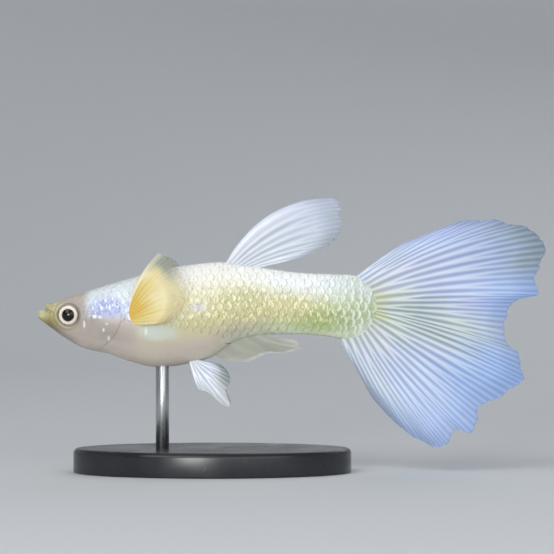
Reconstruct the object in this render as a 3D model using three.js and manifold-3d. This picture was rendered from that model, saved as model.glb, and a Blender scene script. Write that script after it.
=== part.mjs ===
// A male fancy guppy, life size, as a still display model on a small stand.
// Millimetres, +Z up. The fish swims towards -X and shows its left side to -Y.
// Fish coordinates: u runs back from the tip of the lower jaw, z is the height over the long axis,
// and y is across. The fish group lifts these onto the stand.
import * as THREE from "three";
import { mergeVertices } from "three/addons/utils/BufferGeometryUtils.js";
import Module from "manifold-3d";

const wasm = await Module();
wasm.setup();

// Driving dimensions
const gap = 0.3; // between nodes that touch
const axisHeight = 14.6; // of the fish's long axis over the floor
const standAt = 11.2; // distance back from the jaw tip to the stand's rod
const bodySides = 36;
const bodyRings = 44;
const tailCentre = { u: 27.63, z: 0.27 }; // centre of the rounded end of the tail stalk
const tailRadius = 3.0;
const stalkAt = 21.9; // where the tail stalk begins
const finBase = 0.5; // thickness of a fin's membrane
const finTip = 0.24; // thickness at the ragged margin

const colours = {
  back: 0xe9edf0,
  flank: 0xd2d0a8,
  stalk: 0xbccaa6,
  tail: 0xb4c6ea,
  dorsal: 0xd3d8eb,
  pectoral: 0xe2d092,
  pelvic: 0xd0d6e4,
  anal: 0xaaaca0,
  eye: 0xd8d2c6,
  base: 0x2b2c2e,
  rod: 0xa9abae,
};

// Smooth line through a few key points (a monotone cubic, so it never overshoots).
function smoothLine(points) {
  const n = points.length;
  const x = points.map((p) => p[0]);
  const y = points.map((p) => p[1]);
  const slope = [];
  for (let i = 0; i < n - 1; i++) slope.push((y[i + 1] - y[i]) / (x[i + 1] - x[i]));
  const tangent = [slope[0]];
  for (let i = 1; i < n - 1; i++) {
    const before = slope[i - 1];
    const after = slope[i];
    tangent.push(before * after <= 0 ? 0 : (2 * before * after) / (before + after));
  }
  tangent.push(slope[n - 2]);
  return (at) => {
    const t = Math.min(Math.max(at, x[0]), x[n - 1]);
    let i = 0;
    while (i < n - 2 && t > x[i + 1]) i++;
    const h = x[i + 1] - x[i];
    const s = (t - x[i]) / h;
    const s2 = s * s;
    const s3 = s2 * s;
    return (
      y[i] * (2 * s3 - 3 * s2 + 1) +
      tangent[i] * h * (s3 - 2 * s2 + s) +
      y[i + 1] * (3 * s2 - 2 * s3) +
      tangent[i + 1] * h * (s3 - s2)
    );
  };
}

// Body profile: height of the back, height of the belly, half width, and height of the widest line.
const backLine = smoothLine([
  [0, -0.42], [0.3, -0.13], [0.75, 0.12], [1.2, 0.6], [2.5, 1.08], [4, 1.55], [6.1, 2.25], [8.3, 2.9],
  [11, 3.65], [14, 4.15], [16.3, 4.36], [18.4, 4.1], [21.4, 3.66], [24, 3.36], [27.6, 3.24], [30.7, 3.2],
]);
const bellyLine = smoothLine([
  [0, -0.5], [0.15, -0.78], [0.5, -1.06], [1.1, -1.53], [2.5, -2.5], [4, -3.28], [6.1, -3.78], [8.3, -4.6],
  [10.6, -5.13], [12.2, -5.05], [13.8, -4.74], [15.5, -4.3], [16.8, -3.45], [18.2, -2.62], [21, -2.22],
  [23.6, -2.24], [26, -2.42], [27.6, -2.72], [30.7, -2.8],
]);
const halfWidth = smoothLine([
  [0, 0.3], [0.2, 0.62], [0.6, 0.88], [1.1, 1.08], [2.5, 1.52], [4, 1.95], [6.1, 2.36], [8.3, 2.58],
  [11, 2.66], [14, 2.42], [16.3, 2.05], [18.4, 1.7], [21.4, 1.34], [24, 1.12], [26, 0.95], [28.2, 0.72],
  [30.7, 0.46],
]);
const widestLine = smoothLine([
  [0, -0.46], [1.1, -0.3], [2.5, -0.35], [6.1, -0.75], [11, -0.95], [16.3, 0.1], [21.4, 0.6], [30.7, 0.25],
]);
const backSquareness = smoothLine([[0, 2.1], [3, 2.7], [8, 2.4], [16, 2.1], [30.7, 2.0]]);
const cheek = { u: 6.0, z: -0.9, long: 1.7, high: 1.9, proud: 0.16 }; // swelling of the gill cover

// Half the body's width at a place on its side.
function sideAt(u, z) {
  const widest = widestLine(u);
  const high = z > widest;
  const reach = high ? backLine(u) - widest : widest - bellyLine(u);
  const power = high ? backSquareness(u) : 2;
  const share = Math.min(Math.abs(z - widest) / reach, 1);
  return halfWidth(u) * (1 - share ** power) ** (1 / power);
}

// One point of the body's skin: a super-ellipse about the widest line, grown outwards by grow.
function skinPoint(u, angle, grow) {
  const widest = widestLine(u);
  const up = Math.cos(angle);
  const out = Math.sin(angle);
  const power = up > 0 ? backSquareness(u) : 2;
  const reach = (up > 0 ? backLine(u) - widest : widest - bellyLine(u)) + grow;
  const z = widest + Math.sign(up) * reach * Math.abs(up) ** (2 / power);
  const fromCheek = ((u - cheek.u) / cheek.long) ** 2 + ((z - cheek.z) / cheek.high) ** 2;
  const swell = cheek.proud * Math.exp(-fromCheek);
  const y = (halfWidth(u) + grow + swell) * Math.sign(out) * Math.abs(out) ** (2 / power);
  return new THREE.Vector3(u, y, z);
}

// Closed skin over rings of points, with a flat fan over each end.
function closedLoft(rings) {
  const sides = rings[0].length;
  const vertices = rings.flat();
  const faces = [];
  for (let r = 0; r < rings.length - 1; r++)
    for (let s = 0; s < sides; s++) {
      const a = r * sides + s;
      const b = r * sides + ((s + 1) % sides);
      faces.push([a, b, b + sides], [a, b + sides, a + sides]);
    }
  const centre = (ring) => ring.reduce((sum, p) => sum.add(p), new THREE.Vector3()).divideScalar(sides);
  const first = vertices.push(centre(rings[0])) - 1;
  const last = vertices.push(centre(rings.at(-1))) - 1;
  const start = (rings.length - 1) * sides;
  for (let s = 0; s < sides; s++) {
    faces.push([first, (s + 1) % sides, s]);
    faces.push([last, start + s, start + ((s + 1) % sides)]);
  }
  return closedMesh(vertices, faces);
}

function closedMesh(vertices, faces) {
  const geometry = new THREE.BufferGeometry();
  const numbers = vertices.flatMap((p) => p.toArray());
  geometry.setAttribute("position", new THREE.Float32BufferAttribute(numbers, 3));
  geometry.setIndex(faces.flat());
  return geometry;
}

// three.js geometry to a manifold solid, turned the right way out.
function solidOf(geometry, matrix) {
  const bare = geometry.clone();
  for (const name of ["normal", "uv"]) bare.deleteAttribute(name);
  if (matrix) bare.applyMatrix4(matrix);
  const merged = mergeVertices(bare, 1e-4);
  const vertProperties = merged.attributes.position.array;
  const triVerts = new Uint32Array(merged.index.array);
  const made = new wasm.Manifold(new wasm.Mesh({ numProp: 3, vertProperties, triVerts }));
  if (made.volume() > 0) return made;
  triVerts.reverse();
  return new wasm.Manifold(new wasm.Mesh({ numProp: 3, vertProperties, triVerts }));
}

// The largest closed body of a solid, as a named mesh.
function meshOf(name, solid, colour, roughness = 0.4, metalness = 0) {
  const pieces = solid.decompose().sort((a, b) => b.volume() - a.volume());
  const { vertProperties, triVerts, numProp } = pieces[0].getMesh();
  const position = new Float32Array((vertProperties.length / numProp) * 3);
  for (let i = 0; i < position.length / 3; i++)
    position.set(vertProperties.subarray(i * numProp, i * numProp + 3), i * 3);
  const geometry = new THREE.BufferGeometry();
  geometry.setAttribute("position", new THREE.BufferAttribute(position, 3));
  geometry.setIndex(new THREE.BufferAttribute(triVerts, 1));
  geometry.computeVertexNormals();
  const finish = new THREE.MeshStandardMaterial({ color: colour, roughness, metalness });
  const mesh = new THREE.Mesh(geometry, finish);
  mesh.name = name;
  return mesh;
}

// The whole body, from the jaw tip to the rounded end of the tail stalk.
function bodySolid(grow) {
  const end = tailCentre.u + tailRadius + grow;
  const rings = [];
  for (let r = 0; r <= bodyRings; r++) {
    const share = r / bodyRings;
    const u = end * (0.35 * share ** 3 + 0.65 * share) - grow * (1 - share);
    const ring = [];
    for (let s = 0; s < bodySides; s++) ring.push(skinPoint(u, (2 * Math.PI * s) / bodySides, grow));
    rings.push(ring);
  }
  return solidOf(closedLoft(rings));
}

// A flat outline in (u, z), pushed through the whole width of the fish.
const across = 20;
function sideCut(outline) {
  const shape = new THREE.Shape(outline.map(([u, z]) => new THREE.Vector2(u, z)));
  const geometry = new THREE.ExtrudeGeometry(shape, { depth: across, bevelEnabled: false });
  const stand = new THREE.Matrix4().makeRotationX(Math.PI / 2).setPosition(0, across / 2, 0);
  return solidOf(geometry, stand);
}

// Rear edge of the gill cover, seen from the side: a bow from the nape to the throat.
const gillEdge = smoothLine([
  [-6, 4.9], [-3.9, 5.3], [-2.4, 6.9], [-0.9, 7.55], [0.6, 7.3], [2.2, 6.5], [5, 6.0],
]);
function aheadOfGills(shift) {
  const outline = [[-4, -6], [-4, 5]];
  for (let z = 5; z >= -6; z -= 0.5) outline.push([gillEdge(z) + shift, z]);
  return sideCut(outline);
}

function behind(u) {
  return sideCut([[u, -12], [45, -12], [45, 12], [u, 12]]);
}

// The rounded end of the tail stalk: everything ahead of its centre, and a disc about the centre.
function stalkEnd() {
  const outline = [[stalkAt - 1, -6]];
  const steps = 20;
  for (let i = 0; i <= steps; i++) {
    const angle = Math.PI * (i / steps - 0.5);
    outline.push([tailCentre.u + tailRadius * Math.cos(angle), tailCentre.z + tailRadius * Math.sin(angle)]);
  }
  outline.splice(1, 0, [tailCentre.u, -6]);
  outline.push([tailCentre.u, 6], [stalkAt - 1, 6]);
  return sideCut(outline);
}

const body = bodySolid(0);
const grownBody = bodySolid(gap);

// A round bar along a curve, with its ends drawn in.
function taperedBar(points, radius, steps = 10, sides = 7) {
  const curve = new THREE.CatmullRomCurve3(points);
  const frames = curve.computeFrenetFrames(steps);
  const rings = [];
  for (let i = 0; i <= steps; i++) {
    const share = i / steps;
    const r = radius * (0.35 + 0.65 * Math.sin(Math.PI * share) ** 0.5);
    const centre = curve.getPointAt(share);
    const ring = [];
    for (let s = 0; s < sides; s++) {
      const angle = (2 * Math.PI * s) / sides;
      ring.push(
        centre
          .clone()
          .addScaledVector(frames.normals[i], r * Math.cos(angle))
          .addScaledVector(frames.binormals[i], r * Math.sin(angle)),
      );
    }
    rings.push(ring);
  }
  return solidOf(closedLoft(rings));
}

// Mouth: it opens upwards, with the lower lip ahead of the upper.
const mouth = {
  cornerU: 1.5, cornerY: 0.84, lowerTip: 0.2, upperTip: 0.92,
  gape: [[-0.6, 0.55], [-0.6, 0.0], [0.5, -0.1], [1.42, -0.34], [0.62, 0.05], [0.45, 0.3]],
};
function lip(tip, tipZ, cornerZ, radius) {
  const points = [-1, -0.62, 0, 0.62, 1].map((side) => {
    const back = Math.abs(side) ** 2.2;
    return new THREE.Vector3(
      tip + (mouth.cornerU - tip) * back,
      side * mouth.cornerY,
      tipZ + (cornerZ - tipZ) * back,
    );
  });
  return taperedBar(points, radius);
}

// Eyes: lens-shaped, set into a socket with a raised rim.
const eye = { u: 2.75, z: -0.44, radius: 0.98, depth: 0.62, middle: 1.12, tilt: 0.2, roof: 1.38 };
const eyeRimRadius = 0.2;
function eyeSolid(side, grow) {
  const ball = new THREE.SphereGeometry(1, 18, 12);
  const place = new THREE.Matrix4().makeTranslation(eye.u, side * eye.middle, eye.z);
  place.multiply(new THREE.Matrix4().makeRotationZ(side * eye.tilt));
  place.multiply(new THREE.Matrix4().makeScale(eye.radius + grow, eye.depth + grow, eye.radius + grow));
  return solidOf(ball, place);
}

// The rim runs round the eye on the skin itself, half sunk in it.
function eyeRim(side) {
  const around = 20;
  const sides = 6;
  const reach = eye.radius + gap + 0.1;
  const vertices = [];
  const faces = [];
  for (let i = 0; i < around; i++) {
    const turn = (2 * Math.PI * i) / around;
    for (let s = 0; s < sides; s++) {
      const roll = (2 * Math.PI * s) / sides;
      const away = reach + eyeRimRadius * Math.cos(roll);
      const u = eye.u + away * Math.cos(turn);
      const z = eye.z + Math.min(away, eye.roof) * Math.sin(turn);
      const y = sideAt(u, z) + eyeRimRadius * (Math.sin(roll) - 0.15);
      vertices.push(new THREE.Vector3(u, side * y, z));
      const a = i * sides + s;
      const b = i * sides + ((s + 1) % sides);
      const next = (k) => (k + sides) % (around * sides);
      faces.push([a, b, next(b)], [a, next(b), next(a)]);
    }
  }
  return solidOf(closedMesh(vertices, faces));
}

const nostril = { u: 1.62, z: 0.42, y: 0.62, pit: 0.13, rim: 0.12 };
function nostrilPart(side, radius, lift) {
  const ball = new THREE.SphereGeometry(radius, 8, 6);
  const top = nostril.z + lift;
  return solidOf(ball, new THREE.Matrix4().makeTranslation(nostril.u, side * nostril.y, top));
}

function headSolid() {
  let head = body.intersect(aheadOfGills(0));
  head = head.add(lip(mouth.lowerTip, -0.42, -0.5, 0.27));
  head = head.add(lip(mouth.upperTip, 0.3, -0.14, 0.27));
  for (const side of [-1, 1]) {
    head = head.add(eyeRim(side));
    head = head.add(nostrilPart(side, nostril.pit + nostril.rim, 0));
  }
  head = head.subtract(sideCut(mouth.gape));
  for (const side of [-1, 1]) {
    head = head.subtract(eyeSolid(side, gap));
    head = head.subtract(nostrilPart(side, nostril.pit, 0.2));
  }
  return head;
}

// A fin. at(t, b) is a point of its middle surface, with t across the rays from 0 to 1 and b out along
// a ray from 0 to 1. Each ray is a ridge of four columns on both faces, and splits in two past fork.
// The faces share their triangles' diagonals, so that the thin sheet never crosses itself.
function finSolid({ at, normal, rays, rows, ridge, fork = 2, notch = 0, rootThickness = finBase }) {
  const columns = rays * 4;
  const single = [0, 0.4, 1, 0.4];
  const forked = [0, 0.95, 0.25, 0.95];
  const near = [];
  const far = [];
  for (let c = 0; c <= columns; c++)
    for (let r = 0; r <= rows; r++) {
      const b = r / rows;
      const crest = (b < fork ? single : forked)[c % 4];
      const reach = b * (1 - notch * (1 - crest) * b * b);
      const point = at(c / columns, reach);
      const membrane = THREE.MathUtils.lerp(rootThickness, finBase, Math.min(b * 3, 1));
      const thick = THREE.MathUtils.lerp(membrane, finTip, THREE.MathUtils.smoothstep(b, 0.8, 1));
      const half = thick / 2 + ridge * crest * (1 - b * b);
      near.push(point.clone().addScaledVector(normal, -half));
      far.push(point.clone().addScaledVector(normal, half));
    }
  const vertices = [...near, ...far];
  const other = near.length;
  const line = rows + 1;
  const faces = [];
  for (let c = 0; c < columns; c++)
    for (let r = 0; r < rows; r++) {
      const a = c * line + r;
      const d = a + line;
      faces.push([a, a + 1, d + 1], [a, d + 1, d]);
      faces.push([other + a, other + d + 1, other + a + 1], [other + a, other + d, other + d + 1]);
    }
  const edge = [];
  for (let r = 0; r < rows; r++) edge.push(r);
  for (let c = 0; c < columns; c++) edge.push(c * line + rows);
  for (let r = rows; r > 0; r--) edge.push(columns * line + r);
  for (let c = columns; c > 0; c--) edge.push(c * line);
  edge.forEach((a, i) => {
    const d = edge[(i + 1) % edge.length];
    faces.push([a, other + a, other + d], [a, other + d, d]);
  });
  return solidOf(closedMesh(vertices, faces));
}

// Point at share b of a bent ray from root to tip that sets out at the given angle.
function bentRay(root, tip, angle, b, pull = 0.45) {
  const length = Math.hypot(tip[0] - root[0], tip[1] - root[1]) * pull;
  const mid = [root[0] + length * Math.cos(angle), root[1] + length * Math.sin(angle)];
  const mix = (i) => root[i] * (1 - b) ** 2 + 2 * mid[i] * b * (1 - b) + tip[i] * b * b;
  return [mix(0), mix(1)];
}

const degrees = Math.PI / 180;
const sideways = new THREE.Vector3(0, 1, 0);

// Tail fin: a wide fan with a ragged margin, cut in at the middle.
// Margin points are (share across, back from the tail centre, up from it).
const tailMargin = [
  [0, 13.8, 8.0], [0.05, 16.2, 7.35], [0.1, 18.0, 5.6], [0.17, 17.6, 4.0], [0.26, 17.5, 2.7], [0.34, 17.2, 1.2],
  [0.41, 15.1, 0.1], [0.48, 14.5, -1.4], [0.55, 14.7, -3.1], [0.61, 15.9, -4.4], [0.68, 16.3, -5.9],
  [0.76, 15.3, -7.3], [0.83, 13.4, -8.7], [0.89, 12.1, -10.4], [0.93, 11.3, -11.6], [0.965, 10.4, -12.0],
  [1, 8.9, -12.95],
];
const marginU = smoothLine(tailMargin.map(([t, u]) => [t, u]));
const marginZ = smoothLine(tailMargin.map(([t, , z]) => [t, z]));
const tailWave = 0.85;
function tailFin() {
  const at = (t, b) => {
    const stand = (76 - 170 * t) * degrees;
    const root = [(tailRadius + gap) * Math.cos(stand), (tailRadius + gap) * Math.sin(stand)];
    const [du, dz] = bentRay(root, [marginU(t), marginZ(t)], (38 - 108 * t) * degrees, b, 0.48 + 0.04 * t);
    const folds = Math.sin(2 * Math.PI * (1.15 * t + 0.1)) + 0.35 * Math.sin(18 * t + 3 * b);
    const sway = tailWave * b ** 1.5 * folds;
    return new THREE.Vector3(tailCentre.u + du, sway, tailCentre.z + dz);
  };
  return finSolid({
    at, normal: sideways, rays: 17, rows: 12, ridge: 0.13, fork: 0.45, notch: 0.045, rootThickness: 0.62,
  });
}

// Dorsal fin: a swept blade from the middle of the back.
const dorsal = {
  rootFrom: 16.8, rootTo: 19.3, // along the back
  edge: smoothLine([[0, 26.7], [0.2, 27.25], [0.45, 27.5], [0.65, 26.8], [0.85, 24.8], [1, 22.7]]),
  height: smoothLine([[0, 10.1], [0.2, 9.3], [0.45, 7.9], [0.65, 6.4], [0.85, 5.1], [1, 4.55]]),
};
function dorsalFin() {
  const at = (t, b) => {
    const rootU = THREE.MathUtils.lerp(dorsal.rootFrom, dorsal.rootTo, t);
    const root = [rootU, backLine(rootU) - 0.3];
    const angle = THREE.MathUtils.lerp(66, 12, t ** 0.8) * degrees;
    const [u, z] = bentRay(root, [dorsal.edge(t), dorsal.height(t)], angle, b, 0.52);
    return new THREE.Vector3(u, 0.5 * b * b * Math.sin(5 * t + 0.6), z);
  };
  return finSolid({ at, normal: sideways, rays: 8, rows: 9, ridge: 0.12, fork: 0.6, notch: 0.05 });
}

// Pectoral fin: a fan behind the gill cover, spread up and out from the side.
const pectoral = {
  u: 8.6, z: -0.6, base: 1.3, out: 24, roll: 8, // where it grows, and how it stands out, in degrees
  first: 69, last: -8, lean: 0.24, cup: 0.45,
};
const pectoralLength = smoothLine([[0, 6.3], [0.3, 6.7], [0.52, 5.9], [0.75, 4.8], [1, 3.3]]);
function pectoralFin(side) {
  const rootY = side * sideAt(pectoral.u, pectoral.z);
  const frame = new THREE.Matrix4().makeTranslation(pectoral.u, rootY, pectoral.z);
  frame.multiply(new THREE.Matrix4().makeRotationZ(side * pectoral.out * degrees));
  frame.multiply(new THREE.Matrix4().makeRotationX(-side * pectoral.roll * degrees));
  const normal = sideways.clone().transformDirection(frame);
  const at = (t, b) => {
    const angle = THREE.MathUtils.lerp(pectoral.first, pectoral.last, t) * degrees;
    const length = pectoralLength(t);
    const root = [-0.35, (0.5 - t) * pectoral.base];
    const tip = [length * Math.cos(angle), length * Math.sin(angle)];
    const [x, z] = bentRay(root, tip, angle + pectoral.lean * (1 - 0.7 * t), b);
    const cup = side * pectoral.cup * b * b * (0.6 - Math.sin(Math.PI * t));
    return new THREE.Vector3(x, cup, z).applyMatrix4(frame);
  };
  return finSolid({ at, normal, rays: 7, rows: 6, ridge: 0.1, fork: 0.65, notch: 0.03 });
}

// Pelvic fin: small, with its second ray drawn out to a point.
const pelvic = { u: 13.6, base: 0.6, y: 0.55, splay: 10, first: -73, last: -2 };
const pelvicLength = smoothLine([
  [0, 2.4], [0.2, 3.1], [0.35, 5.4], [0.5, 4.1], [0.63, 4.0], [0.8, 3.6], [1, 2.7],
]);
function pelvicFin(side) {
  const frame = new THREE.Matrix4().makeTranslation(pelvic.u, side * pelvic.y, bellyLine(pelvic.u));
  frame.multiply(new THREE.Matrix4().makeRotationX(side * pelvic.splay * degrees));
  const normal = sideways.clone().transformDirection(frame);
  const at = (t, b) => {
    const angle = THREE.MathUtils.lerp(pelvic.first, pelvic.last, t) * degrees;
    const length = pelvicLength(t);
    const root = [t * pelvic.base, 0.35];
    const tip = [0.1 + length * Math.cos(angle), length * Math.sin(angle)];
    const [x, z] = bentRay(root, tip, angle - 0.12, b);
    return new THREE.Vector3(x, side * 0.25 * b * b * Math.sin(4 * t), z).applyMatrix4(frame);
  };
  return finSolid({ at, normal, rays: 6, rows: 6, ridge: 0.09, fork: 0.7, notch: 0.02 });
}

// Anal fin with the male's gonopodium: a long leaf laid back under the tail stalk.
const anal = {
  rootFrom: 15.9, rootTo: 18.0,
  edge: smoothLine([
    [0, 17.9], [0.15, 19.4], [0.32, 20.8], [0.5, 22.9], [0.62, 23.75], [0.72, 23.2], [0.85, 23.5], [1, 22.9],
  ]),
  height: smoothLine([
    [0, -4.75], [0.15, -4.55], [0.32, -4.0], [0.5, -3.95], [0.62, -3.7], [0.72, -3.4], [0.85, -3.15],
    [1, -2.85],
  ]),
};
function analFin() {
  const at = (t, b) => {
    const rootU = THREE.MathUtils.lerp(anal.rootFrom, anal.rootTo, t);
    const root = [rootU, bellyLine(rootU) + 0.4];
    const angle = THREE.MathUtils.lerp(-50, -12, t) * degrees;
    const [u, z] = bentRay(root, [anal.edge(t), anal.height(t)], angle, b, 0.4);
    return new THREE.Vector3(u, 0.25 * b * b * Math.sin(3 * t), z);
  };
  return finSolid({
    at, normal: sideways, rays: 5, rows: 7, ridge: 0.12, fork: 0.75, notch: 0.02, rootThickness: 0.7,
  });
}

// Display stand: an oval foot with a softened edge, and one rod up to the belly.
const stand = { long: 12.5, wide: 8, thick: 2.2, soften: 0.45, rod: 0.6, ahead: 4.5 };
function standBase() {
  const profile = [
    [0, 0],
    [1, 0],
    [1, stand.thick - stand.soften],
    [1 - stand.soften / stand.wide, stand.thick],
    [0, stand.thick],
  ];
  const turned = new THREE.LatheGeometry(profile.map(([r, z]) => new THREE.Vector2(r, z)), 40);
  const lay = new THREE.Matrix4().makeTranslation(stand.ahead, 0, 0);
  lay.multiply(new THREE.Matrix4().makeScale(stand.long, stand.wide, 1));
  lay.multiply(new THREE.Matrix4().makeRotationX(Math.PI / 2));
  return solidOf(turned, lay);
}

function standRod() {
  const bottom = stand.thick + gap;
  const top = axisHeight;
  const bar = new THREE.CylinderGeometry(stand.rod, stand.rod, top - bottom, 20);
  const upright = new THREE.Matrix4().makeTranslation(0, 0, (top + bottom) / 2);
  upright.multiply(new THREE.Matrix4().makeRotationX(Math.PI / 2));
  const clear = grownBody.translate([-standAt, 0, axisHeight]);
  return solidOf(bar, upright).subtract(clear);
}

const fish = new THREE.Group();
fish.position.set(-standAt, 0, axisHeight);
const trunk = body.subtract(aheadOfGills(gap)).subtract(behind(stalkAt - gap));
const stalk = body.intersect(behind(stalkAt)).intersect(stalkEnd());
const freeOfBody = (fin) => fin.subtract(grownBody);
fish.add(
  meshOf("head", headSolid(), colours.back, 0.35),
  meshOf("trunk", trunk, colours.flank, 0.35),
  meshOf("tail_stalk", stalk, colours.stalk, 0.35),
  meshOf("tail_fin", tailFin(), colours.tail, 0.45),
  meshOf("dorsal_fin", freeOfBody(dorsalFin()), colours.dorsal, 0.45),
  meshOf("anal_fin", freeOfBody(analFin()), colours.anal, 0.45),
);
for (const [word, side] of [["left", -1], ["right", 1]])
  fish.add(
    meshOf("eye_" + word, eyeSolid(side, 0), colours.eye, 0.1),
    meshOf("pectoral_fin_" + word, freeOfBody(pectoralFin(side)), colours.pectoral, 0.45),
    meshOf("pelvic_fin_" + word, freeOfBody(pelvicFin(side)), colours.pelvic, 0.45),
  );

const model = new THREE.Group();
model.add(
  fish,
  meshOf("stand_base", standBase(), colours.base, 0.35),
  meshOf("stand_rod", standRod(), colours.rod, 0.3, 1),
);

export default model;
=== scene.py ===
import math

import bpy
import numpy as np
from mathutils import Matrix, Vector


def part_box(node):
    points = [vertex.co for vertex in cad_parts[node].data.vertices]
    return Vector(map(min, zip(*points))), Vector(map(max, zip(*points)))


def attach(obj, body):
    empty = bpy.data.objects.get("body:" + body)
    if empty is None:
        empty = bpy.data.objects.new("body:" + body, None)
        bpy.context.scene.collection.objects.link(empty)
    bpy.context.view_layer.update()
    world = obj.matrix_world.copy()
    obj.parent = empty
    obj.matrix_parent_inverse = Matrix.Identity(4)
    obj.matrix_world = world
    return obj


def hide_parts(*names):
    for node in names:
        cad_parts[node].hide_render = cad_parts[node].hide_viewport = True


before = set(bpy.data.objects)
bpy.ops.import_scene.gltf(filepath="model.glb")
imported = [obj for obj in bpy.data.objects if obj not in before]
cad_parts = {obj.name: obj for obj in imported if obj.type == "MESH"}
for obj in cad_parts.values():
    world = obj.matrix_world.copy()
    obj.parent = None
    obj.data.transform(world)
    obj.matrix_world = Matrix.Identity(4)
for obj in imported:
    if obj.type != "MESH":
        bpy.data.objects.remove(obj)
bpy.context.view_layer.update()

print("frame loaded")

# Fish coordinates are millimetres: u runs back from the jaw tip, y is across, z is the height over
# the long axis. The frame says where the jaw tip and the axis are.
tailEnd = {"centreU": 27.63, "centreZ": 0.27, "radius": 3.0}
bodyEnd = tailEnd["centreU"] + tailEnd["radius"]
deepestBelly = -5.13
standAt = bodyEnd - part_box("tail_stalk")[1].x * 1000
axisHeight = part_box("trunk")[0].z * 1000 - deepestBelly


def toMetres(points):
    return (np.asarray(points, float) + (-standAt, 0, axisHeight)) * 0.001


# A monotone cubic through key points: each slope is the harmonic mean of its two neighbours' slopes.
def smoothLine(points):
    x, y = np.array(points, float).T
    step = np.diff(y) / np.diff(x)
    product = step[:-1] * step[1:]
    total = np.where(product > 0, step[:-1] + step[1:], 1)
    inner = np.where(product > 0, 2 * product / total, 0)
    slope = np.concatenate([step[:1], inner, step[-1:]])

    def line(at):
        at = np.clip(at, x[0], x[-1])
        i = np.clip(np.searchsorted(x, at, side="right") - 1, 0, len(x) - 2)
        h = x[i + 1] - x[i]
        s = (at - x[i]) / h
        return (y[i] * (2 * s**3 - 3 * s**2 + 1) + slope[i] * h * (s**3 - 2 * s**2 + s)
                + y[i + 1] * (3 * s**2 - 2 * s**3) + slope[i + 1] * h * (s**3 - s**2))

    return line


def smoothStep(low, high, value):
    share = np.clip((value - low) / (high - low), 0, 1)
    return share * share * (3 - 2 * share)


def hump(value, middle, width):
    return np.exp(-(((value - middle) / width) ** 2))


# One between the two inner limits, nothing past the outer ones.
def window(value, limits):
    return smoothStep(limits[0], limits[1], value) * (1 - smoothStep(limits[2], limits[3], value))


# Angles of a full turn in equal steps, as one row.
def fullTurn(steps):
    return (np.arange(steps) * 2 * np.pi / steps)[None, :]


# Turn away from the top, either way round, from 0 to half a turn.
def fromTop(angle):
    return np.abs((angle + np.pi) % (2 * np.pi) - np.pi)


def addObject(name, data):
    added = bpy.data.objects.new(name, data)
    bpy.context.scene.collection.objects.link(added)
    return added


# Quads between the neighbouring lines of a grid of points; closed joins the last column to the first.
def gridFaces(rows, columns, closed=False):
    across = columns if closed else columns - 1
    r, c = np.meshgrid(np.arange(rows - 1), np.arange(across), indexing="ij")
    right = (c + 1) % columns
    quads = [r * columns + c, r * columns + right, (r + 1) * columns + right, (r + 1) * columns + c]
    return np.stack(quads, -1).reshape(-1, 4)


# Rings of points made one closed shell: quads from ring to ring, and a fan to a point at each end.
def closeRings(grid, ends):
    rings, turns = grid.shape[:2]
    ring, first = np.arange(turns), rings * turns
    following, last = (ring + 1) % turns, first - turns
    caps = np.concatenate([
        np.stack([np.full(turns, first), following, ring], -1),
        np.stack([np.full(turns, first + 1), last + ring, last + following], -1),
    ])
    return np.concatenate([grid.reshape(-1, 3), ends]), [gridFaces(rings, turns, closed=True), caps]


# Indices once round the outer edge of a grid.
def gridEdge(grid):
    return np.concatenate([grid[0, :-1], grid[:-1, -1], grid[-1, :0:-1], grid[:0:-1, 0]])


# One mesh object from whole arrays. Faces are turned so that the enclosed volume is positive.
def addPiece(name, points, faceSets, material, vectors=None, maps=None):
    points = np.ascontiguousarray(points, np.float64)
    volume = 0.0
    for faces in faceSets:
        corner = points[faces]
        for k in range(1, faces.shape[1] - 1):
            volume += np.einsum("ij,ij->", corner[:, 0], np.cross(corner[:, k], corner[:, k + 1]))
    if volume < 0:
        faceSets = [faces[:, ::-1] for faces in faceSets]
    sizes = np.concatenate([np.full(len(faces), faces.shape[1]) for faces in faceSets])
    corners = np.concatenate([faces.ravel() for faces in faceSets]).astype(np.int32)
    mesh = bpy.data.meshes.new(name)
    mesh.vertices.add(len(points))
    mesh.vertices.foreach_set("co", points.ravel())
    mesh.loops.add(len(corners))
    mesh.loops.foreach_set("vertex_index", corners)
    mesh.polygons.add(len(sizes))
    mesh.polygons.foreach_set("loop_start", (np.cumsum(sizes) - sizes).astype(np.int32))
    mesh.update(calc_edges=True)
    mesh.polygons.foreach_set("use_smooth", np.ones(len(sizes), bool))
    for title, values in (vectors or {}).items():
        layer = mesh.attributes.new(title, "FLOAT_VECTOR", "POINT")
        layer.data.foreach_set("vector", np.ascontiguousarray(values, np.float32).ravel())
    for title, values in (maps or {}).items():
        layer = mesh.uv_layers.new(name=title)
        layer.data.foreach_set("uv", np.ascontiguousarray(values[corners], np.float32).ravel())
    mesh.validate()
    mesh.materials.append(material)
    return addObject(name, mesh)


# An sRGB hex colour as the linear colour that the shaders take.
def toLinear(hexColour):
    parts = [int(hexColour[i:i + 2], 16) / 255 for i in (1, 3, 5)]
    return tuple(p / 12.92 if p <= 0.04045 else ((p + 0.055) / 1.055) ** 2.4 for p in parts) + (1.0,)


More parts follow.
